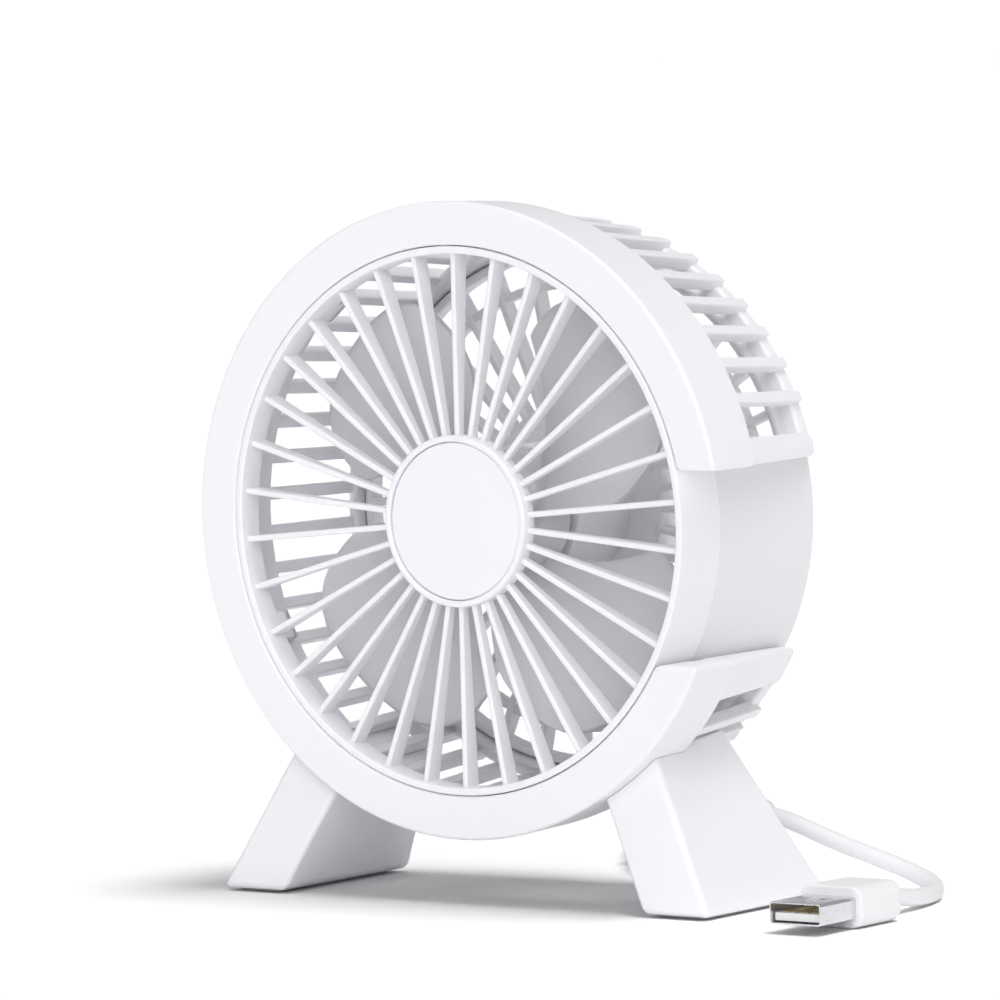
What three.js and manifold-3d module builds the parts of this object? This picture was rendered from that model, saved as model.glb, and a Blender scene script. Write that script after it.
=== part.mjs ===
// A USB desk fan: a C-shaped bezel round a radial grille, a slotted rear housing, two splayed feet,
// a small brushed motor with its impeller, a rear cover with a push button, and a USB cable.
//
// Units are millimetres. +X is the viewer's right, +Y points from the front of the fan to its back,
// +Z is up. The origin is on the surface, under the middle of the fan's box without its cable.
// Fan pieces are drawn round the impeller's axis, which runs along Y from 0 in the front plane.

import * as THREE from "three";
import { mergeVertices } from "three/addons/utils/BufferGeometryUtils.js";
import Module from "manifold-3d";

const wasm = await Module();
wasm.setup();

// ---------------------------------------------------------------- driving dimensions

const FIT = 0.3; // clearance between two separate pieces that meet
const RUNNING = 0.09; // radial clearance of the shaft in its bushes
const AXIS_HEIGHT = 78.25;
const ROUND = 60; // sides of the large rings

const bezel = {
  radius: 65,
  rearRadius: 64.4,
  innerRadius: 56,
  depth: 16,
  wall: 2.2,
  face: 2.6,
  lipDepth: 8,
  edge: 0.8,
  lipWall: 1.6,
  gapTop: 11.3, // heights of the gap's two level ends, from the axis
  gapBottom: -27.6,
  endWall: 1.8,
};

const grille = {
  rimRadius: 55.6,
  rimWall: 1.3,
  rimDepth: 6.2,
  spokes: 34,
  firstSpoke: 90, // degrees
  spokeWidth: 1.2,
  spokeFront: 1.6,
  spokeRearHub: 3.6, // the spokes are deeper at the rim than at the hub
  spokeRearRim: 6,
  hubRadius: 17.5,
  hubWall: 1.3,
  hubRear: 3.9,
  nose: 0.5, // rounding of the hub ring's front
  plateFront: 2.1,
  plateRear: 3.7,
  pegHole: 2.3,
};

// The lugs by which bezel, grille and housing are screwed together.
const lug = {
  angles: [50, 130, 205, 275], // degrees from +X
  outset: 3.2, // of the screws from the bezel's inner edge
  radius: 2.3,
  thickness: 1.8,
  half: 3,
  stemFront: 1,
};

const cap = { depth: 1.7, inset: 0.1, pegRadius: 1.9, pegEnd: 5.4 };

const housing = {
  seamDepth: 14.3, // where the side panel meets the grille's apron
  panelReach: 4.2, // degrees that the panel runs on under the two end blocks
  rimRear: 48.2,
  rimFront: 40,
  collarWall: 2.1,
  ribFrontRadius: 62.9,
  ribRearRadius: 60,
  ribRear: 45.1,
  ribHeight: 3,
  ribWidth: 2.4,
  slots: 42,
  blockTop: 16, // degrees, the far side of the upper end block
  blockBottom: -36.5, // degrees, the far side of the lower end block
  flangeRadius: 58.6,
  flangeFront: 42.4,
  flangeRear: 46,
  saddleHalf: 4.5, // degrees, half of each foot's saddle
  saddleFront: 34,
  saddleInset: 2.4, // how far the saddles stand in from the collar
  root: 1.5, // how far the ribs run on into the collar
};

const backGrille = {
  front: 42.4,
  rear: 46.4,
  rimWall: 1.8,
  ribs: 32,
  ribWidth: 1.5,
  hoopRadius: 47,
  hoopWall: 1.8,
  hoopInset: 0.6,
  deckRadius: 22,
  tabs: [45, 135, 225, 315], // degrees, the snap tabs that hold it in the housing's rim
  tabReach: 1,
  tabHalf: 4,
  tabFront: 43.4,
  tabRear: 45.4,
};

const motor = {
  canRadius: 12.3,
  canWall: 0.8,
  canLength: 12.4,
  front: 25.9,
  bossRadius: 3.9,
  bossLength: 2.5,
  shaftRadius: 1,
  bushWall: 1.3,
  screwCircle: 8,
  sleeveWall: 1.6,
  magnetWall: 2.2,
  magnetLength: 8,
  magnetHalf: 58, // degrees
  airGap: 0.5,
  coreLength: 6,
  coreSlot: 0.6, // half the width of the slots between the coils
  coreSlotDepth: 2.6,
  commutatorRadius: 2.4,
  commutatorLength: 2.4,
  brushWidth: 0.8,
  brushHalf: 0.9,
  brushLength: 2,
  magnetStart: 2.3, // behind the can's front
  coreStart: 3.3,
  bushLength: 3,
  shaftRear: 3, // how far the shaft stands out behind the can
  capLength: 2,
  clipWall: 1.4,
};

const impeller = {
  tipRadius: 50,
  hubRadius: 13.2,
  hubWall: 2,
  hubFront: 10,
  hubRear: 22.6,
  hubStep: 3, // thickness of the hub's front
  bossWall: 1.8,
  bossInset: 0.6,
  blades: 4,
  firstBlade: 30, // degrees
  bladeThickness: 1.5,
  middle: 15.6,
  rise: 11,
  riseLoss: 0.25, // share of the rise that a blade loses towards its tip
  chord: 78, // degrees
  chordShare: [0.62, 0.76, -0.5], // of the chord at the root, and how it grows with the radius
  sweep: 16, // degrees that the tip leads the root
  cornerCut: 0.34, // how far the tip's corners are rounded off
};

const cover = {
  radius: 21.5,
  wall: 1.8,
  rear: 54,
  screwCircle: 16.2,
  bossRadius: 2.7,
  seat: 3, // thickness under the screws' heads
  edge: 1.5,
  buttonHole: 5.4,
};

const board = {
  standOff: 4.7, // behind the motor's can
  thickness: 1.4,
  inset: 0.6,
  switchHalf: 3.6,
  switchDepth: 3.9,
  plungerSink: 0.9,
};

const button = {
  radius: 5,
  edge: 0.6,
  flange: 6.2,
  flangeDepth: 1,
  rear: 55.4,
  travel: 1.2,
  plungerRadius: 1.3,
};

const foot = {
  inner: 45.4, // the underside, from the fan's middle
  outer: 61.4,
  frontLead: 1.4, // how far the underside stands in front of the front plane
  rear: 43,
  splay: 0.53,
  frontRake: 0.21,
  rearRake: 0.31,
  top: 44,
  lift: 0.6,
  screwAngle: 52, // degrees below level
  screwFront: 14,
  screwRear: 39,
  pilot: 9, // depth of the screws' pilot holes
};

const pad = { inset: 3, thickness: 1.4 };

const screw = {
  shank: 0.8,
  head: 1.9,
  headDepth: 1.2,
  hole: 1.15,
  lugLength: 9,
  footLength: 12,
  motorLength: 5,
  coverLength: 7,
};

const cable = {
  diameter: 3.6,
  glandAngle: -60, // degrees, where the cable leaves the rear cover
  glandAxis: 49.9,
  glandNeck: 2.2,
  glandFlange: 3.1,
  glandLength: 12.5,
  glandPlate: 1.6,
  glandWalls: [0.9, 0.4], // over the cable, at the flange and at the end
};

const hank = {
  middleRadius: 10.8,
  lanes: 2,
  layers: 3,
  straight: 40,
  lift: 1.1,
  near: new THREE.Vector2(16.1, 39), // middle of the fold nearer the fan
  heading: 126.2, // degrees from +X, towards the far fold
  tieWidth: 6,
  tieWall: 0.8,
};

const plug = {
  x: 88.5,
  shellRear: -25,
  shellWidth: 12,
  shellHeight: 4.5,
  shellLength: 12.4,
  shellWall: 0.35,
  bodyWidth: 14.6,
  bodyHeight: 8.4,
  bodyLength: 16,
  bodyCorner: 3,
  tongueThickness: 1.6,
  tongueRecess: 1,
  contactWidth: 1,
  contactPitch: 2.4,
  contactHeight: 0.25,
  contactStart: 2.4, // behind the shell's front
  windowPitch: 5.2,
  windowBack: 5.2, // from the shell's rear
  windowWidth: 2.5,
  windowLength: 2.2,
};

// The cable's two free stretches, in the object's frame.
const cableFromFan = [
  [18.7, 22.9, 46.6],
  [21.4, 23, 41.9],
  [25, 23.4, 34.6],
  [28.6, 24.1, 26],
  [31.6, 25.3, 17.6],
  [33.9, 27.3, 10],
  [35, 30.6, 4.4],
  [34.6, 34, 2.2],
  [32.8, 37.6, 1.9],
];
const cableToPlug = [
  [12.2, 34.9, 14.1],
  [17.8, 34.1, 14.1],
  [23.9, 34.2, 14.1],
  [30.1, 35, 14],
  [36.4, 35.8, 13.1],
  [42.5, 35.9, 11.3],
  [49.5, 35.4, 9.1],
  [57.9, 34.3, 7],
  [66.5, 33.3, 4.9],
  [74, 30.8, 3.2],
  [80.5, 25.6, 2.2],
  [85.1, 17.6, 1.9],
  [87.6, 8, 2.3],
  [88.4, -1.5, 3.5],
  [88.5, -8.6, 4.2],
];

// ---------------------------------------------------------------- derived places

const CENTRE_X = (bezel.radius - Math.sqrt(bezel.radius ** 2 - bezel.gapTop ** 2)) / 2;
const FRONT_Y = -(button.rear - foot.frontLead) / 2;
const RIM_INNER = grille.rimRadius - grille.rimWall;
const COLLAR_OUTER = bezel.rearRadius - bezel.wall - FIT;
const COLLAR_INNER = COLLAR_OUTER - housing.collarWall;
const SLEEVE_INNER = motor.canRadius + FIT;
const SLEEVE_OUTER = SLEEVE_INNER + motor.sleeveWall;
const SLEEVE_FRONT = motor.front - FIT - motor.sleeveWall;
const CAN_REAR = motor.front + motor.canLength;
const BORE = motor.shaftRadius + FIT; // of the pieces that are pressed onto the shaft
const BUSH_BORE = motor.shaftRadius + RUNNING;
const BUSH_OUTER = BUSH_BORE + motor.bushWall;
const FRONT_BUSH = motor.front - motor.bossLength + FIT;

const LUG_CIRCLE = bezel.innerRadius + lug.outset;
const GRILLE_LUG = bezel.lipDepth + FIT;
const HOUSING_LUG = GRILLE_LUG + lug.thickness + FIT;
const SINK = 0.3; // how deep a joined piece runs into its neighbour
const OVER = 1; // how far a cutting tool stands out of the body that it cuts
const FAR = 100; // beyond the fan in any direction

const rad = THREE.MathUtils.degToRad;

// ---------------------------------------------------------------- geometry helpers

// A closed three.js geometry as a solid that can be joined and cut.
function solid(geometry) {
  const bare = geometry.clone();
  for (const name of Object.keys(bare.attributes)) {
    if (name !== "position") bare.deleteAttribute(name);
  }
  const merged = mergeVertices(bare, 1e-4);
  return new wasm.Manifold(
    new wasm.Mesh({
      numProp: 3,
      vertProperties: merged.attributes.position.array,
      triVerts: new Uint32Array(merged.index.array),
    }),
  );
}

function geometryOf(made) {
  const mesh = made.getMesh();
  return new THREE.BufferGeometry()
    .setAttribute("position", new THREE.BufferAttribute(mesh.vertProperties, 3))
    .setIndex(new THREE.BufferAttribute(mesh.triVerts, 1));
}

function joined(first, ...others) {
  return geometryOf(others.reduce((sum, piece) => sum.add(solid(piece)), solid(first)));
}

function less(first, ...cutters) {
  return geometryOf(cutters.reduce((rest, tool) => rest.subtract(solid(tool)), solid(first)));
}

function shared(first, second) {
  return geometryOf(solid(first).intersect(solid(second)));
}

// A body turned round the Y axis from [radius, depth] points, listed so that the body is on their left.
function turned(points, segments = 32) {
  const outline = points.map(([radius, depth]) => new THREE.Vector2(radius, depth));
  outline.push(outline[0].clone());
  return new THREE.LatheGeometry(outline, segments);
}

// A plain ring or, with an inner radius of 0, a disc.
function ring(inner, outer, front, rear, segments = 32) {
  if (inner === 0) {
    return new THREE.CylinderGeometry(outer, outer, rear - front, segments).translate(
      0,
      (front + rear) / 2,
      0,
    );
  }
  return turned(
    [
      [inner, front],
      [outer, front],
      [outer, rear],
      [inner, rear],
    ],
    segments,
  );
}

// A block between two corners.
function block(x0, x1, y0, y1, z0, z1) {
  return new THREE.BoxGeometry(x1 - x0, y1 - y0, z1 - z0).translate(
    (x0 + x1) / 2,
    (y0 + y1) / 2,
    (z0 + z1) / 2,
  );
}

// Turns a geometry round the fan's axis, so that what lay along +X lies at this angle.
function atAngle(geometry, degrees) {
  return geometry.rotateY(-rad(degrees));
}

// A pie slice round the axis between two angles, larger than the fan.
function slice(from, to, front, rear) {
  const corners = [new THREE.Vector2(0, 0)];
  const steps = 4;
  for (let i = 0; i <= steps; i += 1) {
    const angle = rad(from + ((to - from) * i) / steps);
    corners.push(new THREE.Vector2(FAR * Math.cos(angle), FAR * Math.sin(angle)));
  }
  return extrudedInDepth(new THREE.Shape(corners), front, rear);
}

// A shape drawn in X and Z, extruded along Y.
function extrudedInDepth(shape, front, rear, curveSegments = 6) {
  return new THREE.ExtrudeGeometry(shape, {
    depth: rear - front,
    bevelEnabled: false,
    curveSegments,
  })
    .rotateX(Math.PI / 2)
    .translate(0, rear, 0);
}

function roundedRectangle(width, height, corner) {
  const x = width / 2 - corner;
  const y = height / 2 - corner;
  const shape = new THREE.Shape();
  shape.absarc(x, y, corner, 0, Math.PI / 2);
  shape.absarc(-x, y, corner, Math.PI / 2, Math.PI);
  shape.absarc(-x, -y, corner, Math.PI, 1.5 * Math.PI);
  shape.absarc(x, -y, corner, 1.5 * Math.PI, 2 * Math.PI);
  return shape;
}

// A rod along Y, placed at an angle and radius round the axis.
function rodInDepth(radius, circle, degrees, front, rear, segments = 12) {
  return atAngle(ring(0, radius, front, rear, segments).translate(circle, 0, 0), degrees);
}

// A rod that points away from the axis, at an angle and a depth.
function rodOutwards(radius, inner, outer, degrees, depth, segments = 12) {
  const rod = ring(0, radius, inner, outer, segments).rotateZ(-Math.PI / 2);
  return atAngle(rod.translate(0, depth, 0), degrees);
}

// ---------------------------------------------------------------- bezel, grille and cap

// The space between the bezel's two level ends, with a margin above and below it.
function bezelGap(front, rear, margin = 0) {
  const start = bezel.innerRadius / 2;
  return block(start, FAR, front, rear, bezel.gapBottom - margin, bezel.gapTop + margin);
}

// A slab between two heights, on the gap's side of the bezel.
function bezelEnd(bottom, top) {
  return block(bezel.innerRadius / 2, FAR, -OVER, bezel.depth + OVER, bottom, top);
}

function bezelOuter(depth) {
  return bezel.radius + ((bezel.rearRadius - bezel.radius) * depth) / bezel.depth;
}

function frontBezel() {
  const { radius, rearRadius, innerRadius, depth, wall, face, lipDepth, lipWall, edge } = bezel;
  const channel = turned(
    [
      [innerRadius, edge],
      [innerRadius + edge, 0],
      [radius - edge, 0],
      [bezelOuter(edge), edge],
      [rearRadius, depth],
      [rearRadius - wall, depth],
      [bezelOuter(face) - wall, face],
      [innerRadius + lipWall, face],
      [innerRadius + lipWall, lipDepth],
      [innerRadius, lipDepth],
    ],
    ROUND,
  );
  const filled = turned(
    [
      [innerRadius, edge],
      [innerRadius + edge, 0],
      [radius - edge, 0],
      [bezelOuter(edge), edge],
      [rearRadius, depth],
      [innerRadius + edge, depth],
      [innerRadius, lipDepth],
    ],
    ROUND,
  );
  const upperEnd = bezelEnd(bezel.gapTop, bezel.gapTop + bezel.endWall);
  const lowerEnd = bezelEnd(bezel.gapBottom - bezel.endWall, bezel.gapBottom);
  const ends = joined(shared(filled, upperEnd), shared(filled, lowerEnd));
  const bosses = lug.angles.map((angle) =>
    rodInDepth(lug.radius, LUG_CIRCLE, angle, face - OVER, lipDepth),
  );
  const pilots = lug.angles.map((angle) =>
    rodInDepth(screw.shank + FIT, LUG_CIRCLE, angle, face + FIT, depth),
  );
  const footHoles = footScrewAngles().map((angle) =>
    rodOutwards(screw.hole, COLLAR_INNER, radius + OVER, angle, foot.screwFront),
  );
  const open = less(joined(channel, ...bosses), bezelGap(-OVER, depth + OVER));
  return less(joined(open, ends), ...pilots, ...footHoles);
}

// The angles at which the rim carries the smooth side wall, under the bezel's ends as well.
function panelSlice(front, rear) {
  const upper = (Math.asin(bezel.gapTop / grille.rimRadius) * 180) / Math.PI;
  const lower = (Math.asin(bezel.gapBottom / grille.rimRadius) * 180) / Math.PI;
  return slice(lower - housing.panelReach, upper + housing.panelReach, front, rear);
}

// One spoke along +X, from the middle of the hub's wall to the middle of the rim's.
function spoke() {
  const inner = grille.hubRadius - grille.hubWall / 2;
  const outer = grille.rimRadius - grille.rimWall / 2;
  const side = new THREE.Shape(
    [
      [inner, grille.spokeFront],
      [outer, grille.spokeFront],
      [outer, grille.spokeRearRim],
      [inner, grille.spokeRearHub],
    ].map(([radius, depth]) => new THREE.Vector2(radius, depth)),
  );
  const width = grille.spokeWidth;
  return new THREE.ExtrudeGeometry(side, { depth: width, bevelEnabled: false }).translate(
    0,
    0,
    -width / 2,
  );
}

function frontGrille() {
  const { rimRadius, hubRadius, hubWall, hubRear, nose } = grille;
  const rim = ring(RIM_INNER, rimRadius, 0, grille.rimDepth, ROUND);
  const apronEnd = housing.seamDepth - FIT / 2;
  const apron = shared(
    ring(RIM_INNER, rimRadius, 0, apronEnd, ROUND),
    panelSlice(lug.stemFront, apronEnd),
  );
  const hub = turned([
    [hubRadius - hubWall, nose],
    [hubRadius - hubWall / 2, 0],
    [hubRadius, nose],
    [hubRadius, hubRear],
    [hubRadius - hubWall, hubRear],
  ]);
  const plate = ring(grille.pegHole, hubRadius - hubWall / 2, grille.plateFront, grille.plateRear);
  const spokes = Array.from({ length: grille.spokes }, (_, i) =>
    atAngle(spoke(), grille.firstSpoke + (360 * i) / grille.spokes),
  );
  const lugRear = GRILLE_LUG + lug.thickness;
  const lugs = lug.angles.map((angle) => {
    const stem = block(RIM_INNER, rimRadius, lug.stemFront, lugRear, -lug.half, lug.half);
    const ear = block(RIM_INNER, LUG_CIRCLE + lug.radius, GRILLE_LUG, lugRear, -lug.half, lug.half);
    return joined(atAngle(stem, angle), atAngle(ear, angle));
  });
  const holes = lug.angles.map((angle) =>
    rodInDepth(screw.hole, LUG_CIRCLE, angle, GRILLE_LUG - OVER, lugRear + OVER, 10),
  );
  return less(joined(rim, apron, hub, plate, ...spokes, ...lugs), ...holes);
}

function grilleCap() {
  const radius = grille.hubRadius - grille.hubWall - FIT;
  const disc = ring(0, radius, cap.inset, cap.depth);
  return joined(disc, ring(0, cap.pegRadius, cap.depth - SINK, cap.pegEnd, 16));
}

// ---------------------------------------------------------------- rear housing

// The radius of the ribs' outer edge at a depth.
function ribOuter(depth) {
  const share = (depth - bezel.depth) / (housing.ribRear - bezel.depth);
  return housing.ribFrontRadius + (housing.ribRearRadius - housing.ribFrontRadius) * share;
}

function footScrewAngles() {
  return [-foot.screwAngle, foot.screwAngle - 180];
}

// A band of the cage from an inner radius out to the ribs' edge, as a full ring.
function cageBand(inner, front, rear) {
  return turned(
    [
      [inner, front],
      [ribOuter(front), front],
      [ribOuter(rear), rear],
      [inner, rear],
    ],
    ROUND,
  );
}

function sideRib() {
  const start = bezel.depth + FIT;
  const inner = COLLAR_INNER + SINK;
  const outer = COLLAR_OUTER - SINK;
  const outline = new THREE.Shape(
    [
      [inner, start - housing.root],
      [outer, start - housing.root],
      [outer, start],
      [ribOuter(start), start],
      [housing.ribRearRadius, housing.ribRear],
      [housing.ribRearRadius - housing.ribHeight, housing.ribRear],
      [inner, start + OVER],
    ].map(([radius, depth]) => new THREE.Vector2(radius, depth)),
  );
  const extruded = new THREE.ExtrudeGeometry(outline, {
    depth: housing.ribWidth,
    bevelEnabled: false,
  });
  return extruded.translate(0, 0, -housing.ribWidth / 2);
}

function rearHousing() {
  const { rimRear, rimFront, flangeFront, flangeRear, blockTop, blockBottom } = housing;
  const start = bezel.depth + FIT;
  const openArc = 360 + blockBottom - blockTop;
  const ribAngles = Array.from(
    { length: housing.slots - 1 },
    (_, i) => blockTop + (openArc * (i + 1)) / housing.slots,
  );

  const collar = ring(COLLAR_INNER, COLLAR_OUTER, HOUSING_LUG, start + OVER, ROUND);
  const flange = ring(RIM_INNER + SINK, housing.flangeRadius, flangeFront, flangeRear, ROUND);
  const ribs = ribAngles.map((angle) => atAngle(sideRib(), angle));
  const lugs = lug.angles.map((angle) => {
    const inner = LUG_CIRCLE - lug.radius;
    const outer = COLLAR_OUTER - SINK;
    const rear = HOUSING_LUG + lug.thickness;
    return atAngle(block(inner, outer, HOUSING_LUG, rear, -lug.half, lug.half), angle);
  });
  const saddles = footScrewAngles().map((angle) =>
    shared(
      cageBand(COLLAR_INNER - housing.saddleInset, housing.saddleFront, flangeFront + OVER),
      slice(angle - housing.saddleHalf, angle + housing.saddleHalf, 0, FAR),
    ),
  );
  const band = joined(
    cageBand(grille.rimRadius - SINK, start, housing.ribRear),
    ring(grille.rimRadius + FIT, COLLAR_OUTER, HOUSING_LUG, start + OVER, ROUND),
  );
  const blocks = shared(band, slice(blockBottom, blockTop, 0, FAR));
  const insideBezel = bezelGap(0, start, bezel.endWall + FIT);
  const cage = less(
    joined(collar, flange, ...ribs, ...lugs, ...saddles, blocks),
    bezelGap(0, FAR),
    insideBezel,
  );

  const rim = ring(RIM_INNER, grille.rimRadius, rimFront, rimRear, ROUND);
  const panelFront = housing.seamDepth + FIT / 2;
  const panel = shared(
    ring(RIM_INNER, grille.rimRadius, panelFront, rimRear, ROUND),
    panelSlice(panelFront, rimRear),
  );
  const holes = [
    ...backGrille.tabs.map((angle) => backTab(angle, FIT)),
    ...lug.angles.map((angle) =>
      rodInDepth(screw.hole, LUG_CIRCLE, angle, HOUSING_LUG - OVER, start),
    ),
    ...lug.angles.map((angle) =>
      rodInDepth(screw.head + FIT, LUG_CIRCLE, angle, HOUSING_LUG + lug.thickness, start),
    ),
    ...footScrewAngles().map((angle) =>
      rodOutwards(screw.hole, grille.rimRadius + OVER, bezel.radius, angle, foot.screwFront),
    ),
    ...footScrewAngles().map((angle) =>
      rodOutwards(screw.hole, grille.rimRadius + OVER, bezel.radius, angle, foot.screwRear),
    ),
  ];
  return less(joined(cage, rim, panel), ...holes);
}

// ---------------------------------------------------------------- back grille with the motor's sleeve

// A snap tab of the back grille or, grown by a clearance, its pocket in the housing's rim.
function backTab(degrees, grow) {
  const { tabReach, tabHalf, tabFront, tabRear } = backGrille;
  const tab = block(
    RIM_INNER - FIT - OVER,
    RIM_INNER + tabReach + grow,
    tabFront - grow,
    tabRear + grow,
    -tabHalf - grow,
    tabHalf + grow,
  );
  return atAngle(tab, degrees);
}

function backGrilleBody() {
  const { front, rear, rimWall, ribs, ribWidth, hoopRadius, hoopWall, hoopInset } = backGrille;
  const outer = RIM_INNER - FIT;
  const rim = ring(outer - rimWall, outer, front, rear, ROUND);
  const spokes = Array.from({ length: ribs }, (_, i) => {
    const half = ribWidth / 2;
    const reach = outer - rimWall / 2;
    return atAngle(
      block(backGrille.deckRadius - OVER, reach, front, rear, -half, half),
      (360 * i) / ribs,
    );
  });
  const hoop = ring(hoopRadius - hoopWall, hoopRadius, front + hoopInset, rear - hoopInset, ROUND);
  const deck = ring(SLEEVE_INNER, backGrille.deckRadius, front, rear);
  const sleeve = ring(SLEEVE_INNER, SLEEVE_OUTER, SLEEVE_FRONT, rear);
  const wallRear = SLEEVE_FRONT + motor.sleeveWall;
  const wall = ring(motor.bossRadius + FIT, SLEEVE_OUTER, SLEEVE_FRONT, wallRear);
  const tabs = backGrille.tabs.map((angle) => backTab(angle, 0));
  const holes = [
    ...motorScrewAngles().map((angle) =>
      rodInDepth(screw.hole, motor.screwCircle, angle, SLEEVE_FRONT - OVER, motor.front),
    ),
    ...coverScrewAngles().map((angle) =>
      rodInDepth(screw.shank + FIT, cover.screwCircle, angle, front - OVER, rear + OVER),
    ),
  ];
  return less(joined(rim, ...spokes, hoop, deck, sleeve, wall, ...tabs), ...holes);
}

// ---------------------------------------------------------------- feet

// Everything that a foot's top has to stay clear of: bezel and cage, with their clearance.
function footRecess() {
  const { radius, rearRadius, depth } = bezel;
  return turned(
    [
      [1, -foot.outer],
      [radius + FIT, -foot.outer],
      [radius + FIT, 0],
      [rearRadius + FIT, depth + FIT],
      [ribOuter(depth) + FIT, depth + FIT],
      [housing.ribRearRadius + FIT, housing.ribRear + FIT],
      [housing.ribRearRadius + FIT, FAR],
      [1, FAR],
    ],
    ROUND,
  );
}

// The right foot; height is measured from the fan's axis, and the left one is its mirror image.
function rightFoot(mirror) {
  const floor = -AXIS_HEIGHT;
  const body = new THREE.BoxGeometry(1, 1, 1);
  const place = body.getAttribute("position");
  for (let i = 0; i < place.count; i += 1) {
    const height = place.getZ(i) > 0 ? foot.top : foot.lift;
    const side = place.getX(i) > 0 ? foot.outer : foot.inner;
    const front = -foot.frontLead + foot.frontRake * height;
    const rear = foot.rear - foot.rearRake * height;
    const x = side - foot.splay * height;
    place.setXYZ(i, x, place.getY(i) > 0 ? rear : front, floor + height);
  }
  const pocket = padBlock(FIT, pad.thickness + FIT).translate(0, 0, -SINK / 10);
  const { radius } = bezel;
  const pilots = [foot.screwFront, foot.screwRear].map((depth) =>
    rodOutwards(screw.shank + FIT, grille.rimRadius, radius + foot.pilot, -foot.screwAngle, depth),
  );
  const made = less(body, footRecess(), pocket, ...pilots);
  return mirror ? mirrored(made) : made;
}

// The rubber pad's block, grown by a clearance for its pocket.
function padBlock(grow, height) {
  const { inset } = pad;
  return block(
    foot.inner + inset - grow,
    foot.outer - inset + grow,
    inset - foot.frontLead - grow,
    foot.rear - inset + grow,
    -AXIS_HEIGHT,
    -AXIS_HEIGHT + height,
  );
}

// The mirror image across the fan's middle, with its faces turned back outwards.
function mirrored(geometry) {
  const copy = geometry.clone().scale(-1, 1, 1);
  const index = copy.getIndex();
  for (let i = 0; i < index.count; i += 3) {
    const second = index.getX(i + 1);
    index.setX(i + 1, index.getX(i + 2));
    index.setX(i + 2, second);
  }
  return copy;
}

// ---------------------------------------------------------------- motor

function motorScrewAngles() {
  return [0, 180];
}

function coverScrewAngles() {
  return [90, 210, 330];
}

function motorCan() {
  const { canRadius, canWall, front, bossRadius, bossLength } = motor;
  const bore = BUSH_OUTER + FIT;
  const body = turned(
    [
      [bore, front - bossLength],
      [bossRadius, front - bossLength],
      [bossRadius, front],
      [canRadius, front],
      [canRadius, CAN_REAR],
      [canRadius - canWall, CAN_REAR],
      [canRadius - canWall, front + canWall],
      [bore, front + canWall],
    ],
    40,
  );
  const holes = motorScrewAngles().map((angle) =>
    rodInDepth(screw.shank + FIT, motor.screwCircle, angle, front - OVER, front + canWall + OVER),
  );
  return less(body, ...holes);
}

function magnet(degrees) {
  const outer = motor.canRadius - motor.canWall - FIT;
  const front = motor.front + motor.magnetStart;
  const body = ring(outer - motor.magnetWall, outer, front, front + motor.magnetLength, 40);
  const half = motor.magnetHalf;
  return shared(body, slice(degrees - half, degrees + half, 0, FAR));
}

function rotorCore() {
  const outer = motor.canRadius - motor.canWall - FIT - motor.magnetWall - motor.airGap;
  const front = motor.front + motor.coreStart;
  const half = motor.coreSlot;
  const body = ring(BORE, outer, front, front + motor.coreLength, 36);
  const slots = [30, 150, 270].map((angle) =>
    atAngle(block(outer - motor.coreSlotDepth, FAR, 0, CAN_REAR, -half, half), angle),
  );
  return less(body, ...slots);
}

function brush(side) {
  const { commutatorRadius, brushWidth, brushHalf, brushLength } = motor;
  const half = brushWidth / 2;
  const x = side * (commutatorRadius + FIT + half);
  const rear = CAN_REAR - SINK;
  return block(x - half, x + half, rear - brushLength, rear, -brushHalf, brushHalf);
}

function motorShaft() {
  return ring(0, motor.shaftRadius, impeller.hubFront + SINK, CAN_REAR + motor.shaftRear, 32);
}

// A screw along Y with its head at this depth, pointing forwards (-1) or backwards (+1).
function screwInDepth(circle, degrees, headDepth, length, way) {
  const tip = headDepth + way * length;
  const seat = headDepth + way * screw.headDepth;
  const shank = rodInDepth(
    screw.shank,
    circle,
    degrees,
    Math.min(headDepth + (way * screw.headDepth) / 2, tip),
    Math.max(headDepth + (way * screw.headDepth) / 2, tip),
    10,
  );
  const head = rodInDepth(
    screw.head,
    circle,
    degrees,
    Math.min(headDepth, seat),
    Math.max(headDepth, seat),
    12,
  );
  return joined(shank, head);
}

// A screw that points away from the axis, its head on the inside of the collar or saddle.
function screwOutwards(degrees, depth, seatRadius) {
  const tip = seatRadius + screw.footLength;
  const shank = rodOutwards(screw.shank, seatRadius - SINK, tip, degrees, depth, 10);
  const head = rodOutwards(screw.head, seatRadius - screw.headDepth, seatRadius, degrees, depth, 12);
  return joined(shank, head);
}

// ---------------------------------------------------------------- impeller

// One blade: a curved sheet that sweeps round the hub and climbs along the axis, with round corners.
function blade(degrees) {
  const across = 7;
  const along = 5;
  const sheet = new THREE.BoxGeometry(1, 1, 1, along, 1, across);
  const place = sheet.getAttribute("position");
  const root = impeller.hubRadius - impeller.hubWall / 2;
  const [base, slope, bend] = impeller.chordShare;
  for (let i = 0; i < place.count; i += 1) {
    const out = place.getX(i) + 0.5;
    const round = place.getZ(i) * 2;
    const reach = impeller.tipRadius - root;
    const radius = root + reach * out * (1 - impeller.cornerCut * out * round ** 4);
    const spread = impeller.chord * (base + slope * out + bend * out ** 2) * (round / 2);
    const angle = rad(degrees + spread + impeller.sweep * out);
    const climb = impeller.rise * (1 - impeller.riseLoss * out) * (round / 2);
    const depth = impeller.middle + climb + place.getY(i) * impeller.bladeThickness;
    place.setXYZ(i, radius * Math.cos(angle), depth, radius * Math.sin(angle));
  }
  return sheet;
}

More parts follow.
